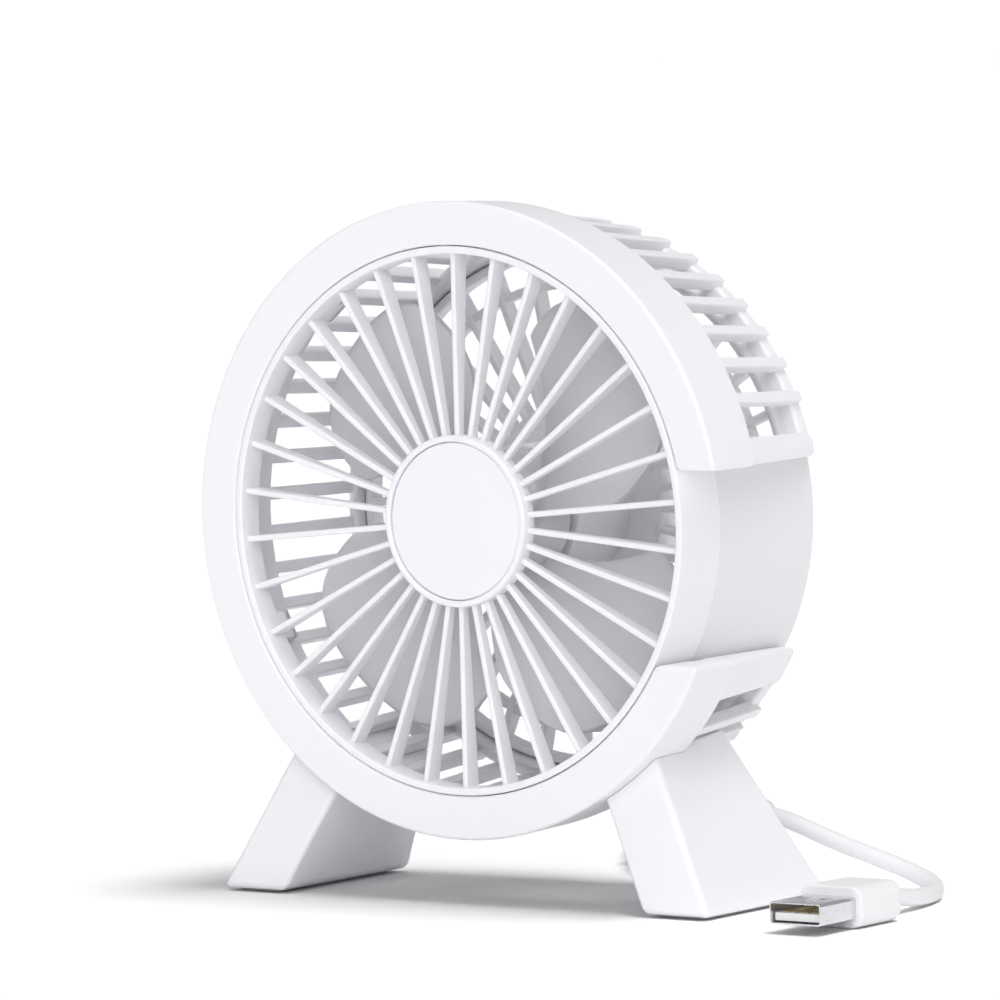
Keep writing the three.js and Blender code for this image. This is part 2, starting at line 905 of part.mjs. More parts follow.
function impellerBody() {
  const { hubRadius, hubWall, hubFront, hubRear, hubStep, bossInset, blades } = impeller;
  const boss = BORE + impeller.bossWall;
  const hub = turned([
    [BORE, hubFront],
    [hubRadius - hubStep, hubFront],
    [hubRadius, hubFront + hubStep],
    [hubRadius, hubRear],
    [hubRadius - hubWall, hubRear],
    [hubRadius - hubWall, hubFront + hubStep],
    [boss, hubFront + hubStep],
    [boss, hubRear - bossInset],
    [BORE, hubRear - bossInset],
  ]);
  const inside = ring(0, hubRadius - hubWall, hubFront + hubStep, FAR);
  const vanes = Array.from({ length: blades }, (_, i) =>
    less(blade((360 * i) / blades + impeller.firstBlade), inside),
  );
  return joined(hub, ...vanes);
}

// The small clip that stops the impeller from sliding off the front of its shaft.
function shaftClip() {
  const rear = impeller.hubFront - FIT;
  return ring(0, BORE + motor.clipWall, rear - motor.clipWall, rear, 20);
}

// ---------------------------------------------------------------- rear cover, switch and button

const DECK_REAR = backGrille.rear;
const BOARD_FRONT = CAN_REAR + board.standOff;
const SWITCH_FRONT = BOARD_FRONT + board.thickness + FIT;
const SWITCH_REAR = SWITCH_FRONT + board.switchDepth;
const PLUNGER_START = SWITCH_REAR - board.plungerSink;

function motorCover() {
  const { radius, wall, rear, edge, screwCircle, bossRadius, buttonHole } = cover;
  const front = DECK_REAR + FIT;
  const shell = turned([
    [buttonHole, rear - wall],
    [radius - wall, rear - wall],
    [radius - wall, front],
    [radius, front],
    [radius, rear - edge],
    [radius - edge, rear],
    [buttonHole, rear],
  ]);
  const bosses = coverScrewAngles().map((angle) =>
    rodInDepth(bossRadius, screwCircle, angle, front, rear - wall / 2),
  );
  const bores = coverScrewAngles().map((angle) =>
    rodInDepth(screw.hole, screwCircle, angle, front - OVER, rear + OVER),
  );
  const counterbores = coverScrewAngles().map((angle) =>
    rodInDepth(screw.head + FIT, screwCircle, angle, front + cover.seat, rear + OVER),
  );
  const width = cable.glandNeck + FIT;
  const inner = radius - wall - OVER;
  const outer = radius + OVER;
  const notch = joined(
    atAngle(block(inner, outer, front - OVER, cable.glandAxis, -width, width), cable.glandAngle),
    rodOutwards(width, inner, outer, cable.glandAngle, cable.glandAxis, 16),
  );
  return less(joined(shell, ...bosses), ...bores, ...counterbores, notch);
}

function switchBody() {
  const half = board.switchHalf;
  const body = block(-half, half, SWITCH_FRONT, SWITCH_REAR, -half, half);
  const bottom = PLUNGER_START - button.travel - FIT;
  return less(body, ring(0, button.plungerRadius + FIT, bottom, SWITCH_REAR + OVER, 16));
}

function switchPlunger() {
  return ring(0, button.plungerRadius, PLUNGER_START, flangeFront() - FIT, 16);
}

function flangeFront() {
  return cover.rear - cover.wall - FIT - button.flangeDepth;
}

function powerButton() {
  const front = flangeFront();
  const body = turned(
    [
      [0, front],
      [button.flange, front],
      [button.flange, front + button.flangeDepth],
      [button.radius, front + button.flangeDepth],
      [button.radius, button.rear - button.edge],
      [button.radius - button.edge, button.rear],
      [0, button.rear],
    ],
    32,
  );
  return body;
}

// ---------------------------------------------------------------- cable and plug

// The strain relief: a neck in the cover's notch, a flange outside it, and a ribbed taper.
function cableGland() {
  const neckStart = cover.radius - cover.wall - cable.glandNeck;
  const flangeStart = cover.radius + FIT;
  const flangeEnd = flangeStart + cable.glandPlate;
  const end = flangeStart + cable.glandLength;
  const [thick, thin] = cable.glandWalls;
  const body = turned(
    [
      [0, neckStart],
      [cable.glandNeck, neckStart],
      [cable.glandNeck, flangeStart],
      [cable.glandFlange, flangeStart],
      [cable.glandFlange, flangeEnd],
      [cable.diameter / 2 + thick, flangeEnd],
      [cable.diameter / 2 + thin, end],
      [0, end],
    ],
    24,
  );
  return atAngle(body.rotateZ(-Math.PI / 2).translate(0, cable.glandAxis, 0), cable.glandAngle);
}

// A round tube along a smooth curve through these points.
function tube(points, radius, steps) {
  const curve = new THREE.CatmullRomCurve3(points.map((point) => new THREE.Vector3(...point)));
  const section = new THREE.Shape();
  section.absarc(0, 0, radius, 0, 2 * Math.PI);
  return new THREE.ExtrudeGeometry(section, {
    steps,
    curveSegments: 8,
    bevelEnabled: false,
    extrudePath: curve,
  });
}

// A race-track outline in the hank's own frame, whose X runs from the near fold to the far one.
function raceTrack(half) {
  const shape = new THREE.Shape();
  shape.absarc(hank.straight, 0, half, -Math.PI / 2, Math.PI / 2);
  shape.absarc(0, 0, half, Math.PI / 2, 1.5 * Math.PI);
  return shape;
}

function hankBody() {
  const half = (hank.lanes * cable.diameter) / 2;
  const outline = raceTrack(hank.middleRadius + half);
  outline.holes.push(raceTrack(hank.middleRadius - half));
  return new THREE.ExtrudeGeometry(outline, {
    depth: hank.layers * cable.diameter,
    bevelEnabled: false,
    curveSegments: 12,
  }).translate(0, 0, hank.lift);
}

function cableTie() {
  const half = hank.middleRadius + (hank.lanes * cable.diameter) / 2 + FIT;
  const top = hank.lift + hank.layers * cable.diameter + FIT;
  const x = (hank.straight - hank.tieWidth) / 2;
  const wall = hank.tieWall;
  const band = block(x, x + hank.tieWidth, -half - wall, half + wall, 0, top + wall);
  return less(band, block(x - OVER, x + hank.tieWidth + OVER, -half, half, wall, top));
}

const PLUG_MIDDLE = plug.bodyHeight / 2;
const SHELL_BOTTOM = PLUG_MIDDLE - plug.shellHeight / 2;

function plugBody() {
  const { bodyWidth, bodyHeight, bodyLength, bodyCorner, shellRear } = plug;
  const outline = roundedRectangle(bodyWidth, bodyHeight, bodyCorner);
  return extrudedInDepth(outline, shellRear, shellRear + bodyLength).translate(0, 0, PLUG_MIDDLE);
}

function plugShell() {
  const { shellWidth, shellHeight, shellLength, shellWall, shellRear } = plug;
  const front = shellRear - FIT - shellLength;
  const rear = shellRear - FIT;
  const half = shellWidth / 2;
  const outside = block(-half, half, front, rear, SHELL_BOTTOM, SHELL_BOTTOM + shellHeight);
  const inside = block(
    -half + shellWall,
    half - shellWall,
    front - OVER,
    rear + OVER,
    SHELL_BOTTOM + shellWall,
    SHELL_BOTTOM + shellHeight - shellWall,
  );
  const windows = [-1, 1].map((side) => {
    const x = (side * plug.windowPitch) / 2;
    const y = rear - plug.windowBack;
    const [w, l] = [plug.windowWidth / 2, plug.windowLength / 2];
    return block(x - w, x + w, y - l, y + l, SHELL_BOTTOM - OVER, plug.bodyHeight);
  });
  return less(outside, inside, ...windows);
}

function tongueTop() {
  return SHELL_BOTTOM + plug.shellWall + FIT + plug.tongueThickness;
}

function plugTongue() {
  const half = plug.shellWidth / 2 - plug.shellWall - FIT;
  const front = plug.shellRear - FIT - plug.shellLength + plug.tongueRecess;
  const bottom = SHELL_BOTTOM + plug.shellWall + FIT;
  return block(-half, half, front, plug.shellRear - FIT, bottom, tongueTop());
}

function plugContact(place) {
  const x = (place - 1.5) * plug.contactPitch;
  const half = plug.contactWidth / 2;
  const front = plug.shellRear - plug.shellLength + plug.contactStart;
  const bottom = tongueTop() + FIT / 2;
  const top = bottom + plug.contactHeight;
  return block(x - half, x + half, front, plug.shellRear - OVER, bottom, top);
}

// ---------------------------------------------------------------- materials and assembly

function finish(colour, roughness, metalness = 0) {
  return new THREE.MeshStandardMaterial({ color: colour, roughness, metalness });
}

const WHITE = finish(0xf3f3f8, 0.42);
const IVORY = finish(0xe9e9ef, 0.5);
const RUBBER = finish(0xd9d9dc, 0.85);
const SOFT_WHITE = finish(0xe4e4e9, 0.6);
const STEEL = finish(0xb8bac0, 0.3, 1);
const DARK_STEEL = finish(0x5a5c60, 0.45, 1);
const BRASS = finish(0xc8a24a, 0.35, 1);
const COPPER = finish(0xb0623a, 0.4, 1);
const MAGNET = finish(0x2c2c2e, 0.7);
const BOARD = finish(0x2f6b45, 0.55);

const desk_fan = new THREE.Group();
const fan = new THREE.Group();
fan.position.set(CENTRE_X, FRONT_Y, AXIS_HEIGHT);
const coiled = new THREE.Group();
coiled.position.set(hank.near.x, hank.near.y, 0);
coiled.rotation.z = rad(hank.heading);
const connector = new THREE.Group();
connector.position.x = plug.x;
desk_fan.add(fan, coiled, connector);

function add(group, name, geometry, material) {
  const mesh = new THREE.Mesh(geometry, material.clone());
  mesh.name = name;
  group.add(mesh);
}

add(fan, "front_bezel", frontBezel(), WHITE);
add(fan, "front_grille", frontGrille(), WHITE);
add(fan, "grille_cap", grilleCap(), WHITE);
add(fan, "rear_housing", rearHousing(), WHITE);
add(fan, "back_grille", backGrilleBody(), WHITE);
add(fan, "right_foot", rightFoot(false), WHITE);
add(fan, "left_foot", rightFoot(true), WHITE);
add(fan, "right_foot_pad", padBlock(0, pad.thickness), RUBBER);
add(fan, "left_foot_pad", mirrored(padBlock(0, pad.thickness)), RUBBER);

lug.angles.forEach((angle, i) => {
  const head = HOUSING_LUG + lug.thickness + FIT + screw.headDepth;
  add(fan, `bezel_screw_${i + 1}`, screwInDepth(LUG_CIRCLE, angle, head, screw.lugLength, -1), STEEL);
});
["right", "left"].forEach((side, i) => {
  const angle = footScrewAngles()[i];
  const seat = COLLAR_INNER - FIT;
  const rearSeat = seat - housing.saddleInset;
  add(fan, `${side}_foot_screw_front`, screwOutwards(angle, foot.screwFront, seat), STEEL);
  add(fan, `${side}_foot_screw_rear`, screwOutwards(angle, foot.screwRear, rearSeat), STEEL);
});

add(fan, "motor_can", motorCan(), STEEL);
add(
  fan,
  "motor_end_cap",
  ring(BUSH_OUTER + FIT, motor.canRadius, CAN_REAR + FIT, CAN_REAR + motor.capLength, 40),
  IVORY,
);
add(fan, "motor_magnet_right", magnet(0), MAGNET);
add(fan, "motor_magnet_left", magnet(180), MAGNET);
add(
  fan,
  "motor_bush_front",
  ring(BUSH_BORE, BUSH_OUTER, FRONT_BUSH, FRONT_BUSH + motor.bushLength, 32),
  BRASS,
);
add(
  fan,
  "motor_bush_rear",
  ring(BUSH_BORE, BUSH_OUTER, CAN_REAR + FIT, CAN_REAR + motor.capLength, 32),
  BRASS,
);
add(fan, "motor_brush_right", brush(1), COPPER);
add(fan, "motor_brush_left", brush(-1), COPPER);
motorScrewAngles().forEach((angle, i) => {
  const head = SLEEVE_FRONT - FIT - screw.headDepth;
  const made = screwInDepth(motor.screwCircle, angle, head, screw.motorLength, 1);
  add(fan, `motor_screw_${i + 1}`, made, STEEL);
});

add(fan, "impeller", impellerBody(), SOFT_WHITE);
add(fan, "impeller_clip", shaftClip(), IVORY);
add(fan, "motor_shaft", motorShaft(), STEEL);
add(fan, "rotor_core", rotorCore(), DARK_STEEL);
add(
  fan,
  "commutator",
  ring(BORE, motor.commutatorRadius, CAN_REAR - motor.commutatorLength, CAN_REAR, 20),
  COPPER,
);

add(fan, "motor_cover", motorCover(), WHITE);
coverScrewAngles().forEach((angle, i) => {
  const head = DECK_REAR + FIT + cover.seat + FIT + screw.headDepth;
  const made = screwInDepth(cover.screwCircle, angle, head, screw.coverLength, -1);
  add(fan, `cover_screw_${i + 1}`, made, STEEL);
});
const boardRadius = SLEEVE_INNER - board.inset;
const boardRear = BOARD_FRONT + board.thickness;
add(fan, "control_board", ring(0, boardRadius, BOARD_FRONT, boardRear, 32), BOARD);
add(fan, "switch_body", switchBody(), MAGNET);
add(fan, "switch_plunger", switchPlunger(), IVORY);
add(fan, "power_button", powerButton(), SOFT_WHITE);

add(fan, "cable_gland", cableGland(), SOFT_WHITE);
add(desk_fan, "cable_from_fan", tube(cableFromFan, cable.diameter / 2, 10), SOFT_WHITE);
add(desk_fan, "cable_to_plug", tube(cableToPlug, cable.diameter / 2, 16), SOFT_WHITE);
add(coiled, "cable_hank", hankBody(), SOFT_WHITE);
add(coiled, "cable_tie", cableTie(), SOFT_WHITE);
add(connector, "plug_body", plugBody(), SOFT_WHITE);
add(connector, "plug_shell", plugShell(), STEEL);
add(connector, "plug_tongue", plugTongue(), IVORY);
for (let place = 0; place < 4; place += 1) {
  add(connector, `plug_contact_${place + 1}`, plugContact(place), BRASS);
}

export default desk_fan;
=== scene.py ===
"""A small white USB desk fan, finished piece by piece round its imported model."""

from __future__ import annotations

import logging
import math
from dataclasses import dataclass, field
from enum import Enum
from typing import Callable, Sequence

import bmesh
import bpy
from mathutils import Matrix, Vector


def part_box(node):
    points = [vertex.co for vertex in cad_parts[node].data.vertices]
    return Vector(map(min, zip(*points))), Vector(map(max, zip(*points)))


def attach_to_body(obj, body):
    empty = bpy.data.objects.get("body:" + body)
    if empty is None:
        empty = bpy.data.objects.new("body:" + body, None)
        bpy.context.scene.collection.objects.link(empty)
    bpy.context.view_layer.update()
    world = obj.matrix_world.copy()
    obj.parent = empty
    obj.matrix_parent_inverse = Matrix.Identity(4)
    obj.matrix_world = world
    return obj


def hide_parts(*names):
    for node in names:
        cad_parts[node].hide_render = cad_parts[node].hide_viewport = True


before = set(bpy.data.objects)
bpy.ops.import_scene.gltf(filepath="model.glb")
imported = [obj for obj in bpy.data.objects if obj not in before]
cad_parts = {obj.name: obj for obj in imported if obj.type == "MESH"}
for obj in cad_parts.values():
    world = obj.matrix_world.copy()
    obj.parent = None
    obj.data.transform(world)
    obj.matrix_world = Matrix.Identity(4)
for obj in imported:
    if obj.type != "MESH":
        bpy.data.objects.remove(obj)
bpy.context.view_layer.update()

LOG = logging.getLogger("desk_fan")
MM = 0.001

Profile = list[tuple[float, float]]
Row = list[Vector]


class Body(Enum):
    """The rigid bodies that pieces ride on."""

    STAND = "stand"
    ROTOR = "rotor"
    BUTTON = "button"


class Slot(Enum):
    """The record's material slots."""

    WHITE = "white_plastic"
    BLADE = "blade_plastic"
    BUTTON = "button_plastic"
    PAD = "pad_rubber"
    JACKET = "cable_jacket"
    PLUG = "plug_moulding"
    PLUG_STEEL = "plug_steel"
    INSULATOR = "insulator"
    BRASS = "brass"
    COPPER = "copper"
    MAGNET = "magnet"
    SWITCH = "switch_plastic"
    BOARD = "board"
    CORE = "core_steel"
    STEEL = "steel"


# ---------------------------------------------------------------- places


def fan_origin() -> Vector:
    """The impeller's axis in the fan's front plane, in metres.

    Returns:
        The point that all fan pieces are drawn round.
    """
    shaft_low, shaft_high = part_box("motor_shaft")
    front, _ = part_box("front_bezel")
    middle = (shaft_low + shaft_high) / 2
    return Vector((middle.x, front.y, middle.z))


ORIGIN = fan_origin()
FLOOR = -ORIGIN.z / MM  # height of the surface, in millimetres from the axis
ROW_MM = Matrix.Scale(MM, 4)  # for shapes that are drawn in the row's own frame
FAN_PLACE = Matrix.Translation(ORIGIN) @ ROW_MM


def polar(radius: float, depth: float, degrees: float) -> Vector:
    """A point in the fan's own frame, in millimetres.

    Args:
        radius: Distance from the axis.
        depth: Distance behind the front plane.
        degrees: Angle from the viewer's right, growing upwards.

    Returns:
        The point.
    """
    angle = math.radians(degrees)
    return Vector((radius * math.cos(angle), depth, radius * math.sin(angle)))


def smooth_step(value: float) -> float:
    """Runs smoothly from 0 to 1 as the value does, and stays there beyond."""
    share = min(max(value, 0.0), 1.0)
    return share * share * (3 - 2 * share)


# ---------------------------------------------------------------- outlines


def filleted(corners: Sequence[tuple[float, float, float]], steps: int = 5) -> Profile:
    """A closed outline with its corners rounded.

    Args:
        corners: Each corner's two coordinates and its rounding radius.
        steps: Number of short edges in each rounding.

    Returns:
        The outline's points.
    """
    points: Profile = []
    count = len(corners)
    for i, (x, y, radius) in enumerate(corners):
        corner = Vector((x, y))
        before = (Vector(corners[i - 1][:2]) - corner).normalized()
        after = (Vector(corners[(i + 1) % count][:2]) - corner).normalized()
        half = before.angle(after) / 2
        if radius <= 0 or half > math.radians(89):
            points.append((x, y))
            continue
        reach = radius / math.tan(half)
        centre = corner + (before + after).normalized() * (radius / math.sin(half))
        first = corner + before * reach - centre
        last = corner + after * reach - centre
        turn = first.angle_signed(last)
        for k in range(steps + 1):
            arm = first.copy()
            arm.rotate(Matrix.Rotation(-turn * k / steps, 2))
            points.append(tuple(centre + arm))
    return points


def inset(outline: Profile, distance: float) -> Profile:
    """The outline moved inwards by a distance.

    Args:
        outline: A closed outline.
        distance: How far each edge moves in.

    Returns:
        The smaller outline, with as many points.
    """
    count = len(outline)
    area = sum(
        outline[i - 1][0] * outline[i][1] - outline[i][0] * outline[i - 1][1]
        for i in range(count)
    )
    side = 1 if area > 0 else -1
    moved: Profile = []
    for i, (x, y) in enumerate(outline):
        into = (Vector((x, y)) - Vector(outline[i - 1])).normalized()
        out = (Vector(outline[(i + 1) % count]) - Vector((x, y))).normalized()
        first = Vector((-into.y, into.x)) * side
        second = Vector((-out.y, out.x)) * side
        share = distance / max(1 + first.dot(second), 0.2)
        moved.append((x + (first.x + second.x) * share, y + (first.y + second.y) * share))
    return moved


Corners = Sequence[tuple[float, float, float]]


def section(corners: Corners, shrink: float = 0.0, steps: int = 5) -> Profile:
    """A rounded outline, moved inwards as a whole with its roundings kept concentric.

    Args:
        corners: Each corner's two coordinates and its rounding radius.
        shrink: How far each edge moves in.
        steps: Number of short edges in each rounding.

    Returns:
        The outline's points, as many for any shrink.
    """
    moved = inset([corner[:2] for corner in corners], shrink) if shrink else corners
    kept = [max(corner[2] - shrink, 0.012) if corner[2] else 0.0 for corner in corners]
    return filleted([(p[0], p[1], radius) for p, radius in zip(moved, kept)], steps)


def box_corners(x0: float, x1: float, y0: float, y1: float, radius: float) -> Corners:
    """A rectangle's corners with one rounding radius."""
    return [(x0, y0, radius), (x1, y0, radius), (x1, y1, radius), (x0, y1, radius)]


def rectangle(x0: float, x1: float, y0: float, y1: float, radius: float, steps: int = 4) -> Profile:
    """A rectangle between two corners, with its corners rounded alike."""
    return filleted(box_corners(x0, x1, y0, y1, radius), steps)


# ---------------------------------------------------------------- meshes


class Shell:
    """Closed surfaces under construction, in millimetres."""

    def __init__(self) -> None:
        """Starts with nothing in it."""
        self.points: list[Vector] = []
        self.faces: list[tuple[int, ...]] = []

    def loft(
        self,
        rows: Sequence[Row],
        looped: bool = False,
        open_rows: bool = False,
        caps: bool = True,
    ) -> "Shell":
        """Adds a surface through rows of points.

        Args:
            rows: Rows with the same number of points.
            looped: Whether the last row joins the first one.
            open_rows: Whether each row runs from the axis to the axis, so that it isn't closed.
            caps: Whether the first and the last row are closed by a face.

        Returns:
            The shell itself.
        """
        start = len(self.points)
        width = len(rows[0])
        for row in rows:
            self.points.extend(row)
        last = len(rows) if looped else len(rows) - 1
        for i in range(last):
            here = start + i * width
            there = start + ((i + 1) % len(rows)) * width
            for j in range(width - 1 if open_rows else width):
                k = (j + 1) % width
                self.faces.append((here + j, here + k, there + k, there + j))
        if caps and not looped and not open_rows:
            self.faces.append(tuple(start + j for j in reversed(range(width))))
            self.faces.append(tuple(start + (len(rows) - 1) * width + j for j in range(width)))
        return self

    def lathe(self, profile: Profile, segments: int = 96, solid: bool = False) -> "Shell":
        """Adds a body turned round the fan's axis.

        Args:
            profile: Radius and depth of each point.
            segments: Number of steps round the axis.
            solid: Whether the profile starts and ends on the axis.

        Returns:
            The shell itself.
        """
        rows = [[polar(r, y, 360 * i / segments) for r, y in profile] for i in range(segments)]
        return self.loft(rows, looped=True, open_rows=solid)

    def arc(
        self,
        corners: Corners,
        start: Callable[[float], float],
        end: Callable[[float], float],
        rows: int,
        rounding: float = 0.0,
    ) -> "Shell":
        """Adds a body swept round the axis between two ends, with its end edges rounded.

        Args:
            corners: Radius, depth and rounding of each corner of the section.
            start: The angle of the first end at a radius, in degrees.
            end: The angle of the last end at a radius.
            rows: Number of sections between the rounded ends.
            rounding: Radius of the end edges.

        Returns:
            The shell itself.
        """
        middle = sum(corner[0] for corner in corners) / len(corners)
        steps = 5 if rounding else 0
        turns = [math.pi / 2 * k / steps for k in range(steps)]
        lead = [(rounding * (1 - math.cos(t)), rounding * (1 - math.sin(t))) for t in turns]
        way = 1 if end(middle) > start(middle) else -1

        def row(share: float, along: float, shrink: float) -> Row:
            """One section at a share of the sweep, moved along it and shrunk."""
            return [
                polar(r, y, start(r) + (end(r) - start(r)) * share + way * math.degrees(along / r))
                for r, y in section(corners, shrink)
            ]

        sections = [row(0, along, shrink) for along, shrink in lead]
        shares = [i / rows for i in range(rows + 1)]
        sections += [row(share, rounding * (1 - 2 * share), 0) for share in shares]
        sections += [row(1, -along, shrink) for along, shrink in reversed(lead)]
        return self.loft(sections)

    def mesh(self, name: str, place: Matrix = FAN_PLACE) -> bpy.types.Mesh:
        """Makes the mesh, in metres, with its doubles merged and its faces outwards.

        Args:
            name: The mesh's name.
            place: From this shell's millimetres to the object's frame.

        Returns:
            The mesh.
        """
        made = bpy.data.meshes.new(name)
        made.from_pydata([place @ point for point in self.points], [], self.faces)
        tidy = bmesh.new()
        tidy.from_mesh(made)
        bmesh.ops.remove_doubles(tidy, verts=tidy.verts, dist=1e-7)
        bmesh.ops.dissolve_degenerate(tidy, edges=tidy.edges, dist=1e-8)
        bmesh.ops.recalc_face_normals(tidy, faces=tidy.faces)
        tidy.to_mesh(made)
        tidy.free()
        return made


def shaded(mesh: bpy.types.Mesh, degrees: float = 34.0) -> bpy.types.Mesh:
    """Smooths a mesh's shading except across edges sharper than an angle."""
    mesh.shade_smooth()
    mesh.set_sharp_from_angle(angle=math.radians(degrees))
    return mesh


def new_object(name: str, mesh: bpy.types.Mesh) -> bpy.types.Object:
    """Puts a mesh in the scene under a name."""
    made = bpy.data.objects.new(name, mesh)
    bpy.context.scene.collection.objects.link(made)
    return made


def settled(piece: bpy.types.Object, degrees: float = 34.0) -> bpy.types.Object:
    """Turns a piece's modifiers into its plain mesh.

    Args:
        piece: An object with modifiers.
        degrees: Edges sharper than this stay sharp.

    Returns:
        The same object, with no modifiers.
    """
    graph = bpy.context.evaluated_depsgraph_get()
    mesh = bpy.data.meshes.new_from_object(piece.evaluated_get(graph))
    piece.modifiers.clear()
    piece.data = shaded(mesh, degrees)
    return piece


def weighted(piece: bpy.types.Object) -> bpy.types.Object:
    """Keeps flat faces flat in shading, so that only the rounded edges turn.

    Args:
        piece: A settled mesh piece.

    Returns:
        The same piece.
    """
    rule = piece.modifiers.new("weights", "WEIGHTED_NORMAL")
    rule.mode = "FACE_AREA"
    rule.weight = 80
    rule.keep_sharp = True
    graph = bpy.context.evaluated_depsgraph_get()
    mesh = bpy.data.meshes.new_from_object(piece.evaluated_get(graph))
    piece.modifiers.clear()
    piece.data = mesh
    return piece


def carved(piece: bpy.types.Object, *tools: bpy.types.Mesh) -> bpy.types.Object:
    """Cuts closed meshes out of a piece.

    Args:
        piece: The piece to cut.
        tools: The closed meshes to take away.

    Returns:
        The same piece.
    """
    cutters = [new_object(f"{piece.name}_tool_{i}", tool) for i, tool in enumerate(tools)]
    for cutter in cutters:
        cut = piece.modifiers.new("cut", "BOOLEAN")
        cut.operation = "DIFFERENCE"
        cut.solver = "EXACT"
        cut.object = cutter
    settled(piece)
    for cutter in cutters:
        bpy.data.objects.remove(cutter)
    return piece


def bevelled(piece: bpy.types.Object, width: float, segments: int = 3) -> bpy.types.Object:
    """Rounds a piece's sharp edges.

    Args:
        piece: The piece.
        width: The rounding's width in millimetres.
        segments: Number of steps in the rounding.

    Returns:
        The same piece, settled.
    """
    bevel = piece.modifiers.new("rounding", "BEVEL")
    bevel.width = width * MM
    bevel.segments = segments
    bevel.limit_method = "ANGLE"
    bevel.angle_limit = math.radians(35)
    return settled(piece)


def attach(
    piece: bpy.types.Object,
    slot: Slot,
    body: Body = Body.STAND,
    replaces: Sequence[str] = (),
    finish: MouldedFinish | None = None,
) -> bpy.types.Object:
    """Gives a finished piece its material, its body and the CAD nodes that it stands for.

    Args:
        piece: The piece, at the origin.
        slot: Its material slot.
        body: The body that it rides on.
        replaces: CAD nodes that it stands for.
        finish: Its own finish, where it isn't the slot's usual one.

    Returns:
        The same piece.
    """
    if piece.type == "MESH":
        weighted(piece)
        piece.data.materials.clear()
        piece.data.materials.append((finish or FINISHES[slot]).material())
    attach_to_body(piece, body.value)
    if replaces:
        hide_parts(*replaces)
    size = len(piece.data.polygons) if piece.type == "MESH" else 0
    LOG.info("%s: %d faces, %s, on %s", piece.name, size, slot.value, body.value)
    return piece


def moulded(
    name: str,
    shell: Shell,
    slot: Slot,
    *nodes: str,
    body: Body = Body.STAND,
    finish: MouldedFinish | None = None,
) -> bpy.types.Object:
    """Makes a piece of one shell and attaches it.

    Args:
        name: The piece's name.
        shell: Its surfaces, in the fan's frame.
        slot: Its material slot.
        nodes: The CAD nodes that it stands for.
        body: The body that it rides on.
        finish: Its own finish, where it isn't the slot's usual one.

    Returns:
        The piece.
    """
    return attach(new_object(name, shaded(shell.mesh(name))), slot, body, nodes, finish)


# ---------------------------------------------------------------- node helpers


def socket_in(tree: bpy.types.NodeTree, name: str, kind: str, value: object = None) -> None:
    """Adds a named input to a node tree, with its default."""
    made = tree.interface.new_socket(name, in_out="INPUT", socket_type=kind)
    if value is not None:
        made.default_value = value


def socket_out(tree: bpy.types.NodeTree, name: str, kind: str) -> None:
    """Adds a named output to a node tree."""
    tree.interface.new_socket(name, in_out="OUTPUT", socket_type=kind)


def node(tree: bpy.types.NodeTree, kind: str, **settings: object) -> bpy.types.Node:
    """Adds a node.

    Args:
        tree: The tree.
        kind: The node's type name.
        settings: Properties to set on it.

    Returns:
        The node.
    """
    made = tree.nodes.new(kind)
    for name, value in settings.items():
        setattr(made, name, value)
    return made


def math_node(
    tree: bpy.types.NodeTree, operation: str, first: object, second: object = 0.0
) -> bpy.types.NodeSocket:
    """Adds a math node fed by sockets or numbers, and returns its output."""
    made = node(tree, "ShaderNodeMath", operation=operation)
    for place, value in enumerate((first, second)):
        if isinstance(value, bpy.types.NodeSocket):
            tree.links.new(value, made.inputs[place])
        else:
            made.inputs[place].default_value = value
    return made.outputs[0]


# ---------------------------------------------------------------- shared surface effects


def moulded_grain() -> bpy.types.NodeTree:
    """The surface of a moulding: a fine spark-eroded grain over slow ripples of flow.

    Returns:
        A shader group with Height, Mottle and Gloss outputs.
    """
    name = "moulded_grain"
    if name in bpy.data.node_groups:
        return bpy.data.node_groups[name]
    tree = bpy.data.node_groups.new(name, "ShaderNodeTree")
    socket_in(tree, "Vector", "NodeSocketVector")
    socket_in(tree, "Grain Scale", "NodeSocketFloat", 2600.0)
    socket_in(tree, "Flow Scale", "NodeSocketFloat", 24.0)
    socket_in(tree, "Grain Share", "NodeSocketFloat", 0.6)
    socket_out(tree, "Height", "NodeSocketFloat")
    socket_out(tree, "Mottle", "NodeSocketFloat")
    socket_out(tree, "Gloss", "NodeSocketFloat")
    into = node(tree, "NodeGroupInput")
    out = node(tree, "NodeGroupOutput")
    grain = node(tree, "ShaderNodeTexNoise")
    grain.inputs["Detail"].default_value = 3
    flow = node(tree, "ShaderNodeTexNoise")
    flow.inputs["Detail"].default_value = 4
    flow.inputs["Distortion"].default_value = 0.6
    smudge = node(tree, "ShaderNodeTexNoise")
    smudge.inputs["Detail"].default_value = 5
    smudge.inputs["Roughness"].default_value = 0.62
    wide = math_node(tree, "MULTIPLY", into.outputs["Flow Scale"], 3.4)
    for texture in (grain, flow, smudge):
        tree.links.new(into.outputs["Vector"], texture.inputs["Vector"])
    tree.links.new(into.outputs["Grain Scale"], grain.inputs["Scale"])
    tree.links.new(into.outputs["Flow Scale"], flow.inputs["Scale"])
    tree.links.new(wide, smudge.inputs["Scale"])
    fine = math_node(tree, "MULTIPLY", grain.outputs["Fac"], into.outputs["Grain Share"])
    rest = math_node(tree, "SUBTRACT", 1.0, into.outputs["Grain Share"])
    slow = math_node(tree, "MULTIPLY", flow.outputs["Fac"], rest)
    tree.links.new(math_node(tree, "ADD", fine, slow), out.inputs["Height"])
    tree.links.new(flow.outputs["Fac"], out.inputs["Mottle"])
    tree.links.new(smudge.outputs["Fac"], out.inputs["Gloss"])
    return tree


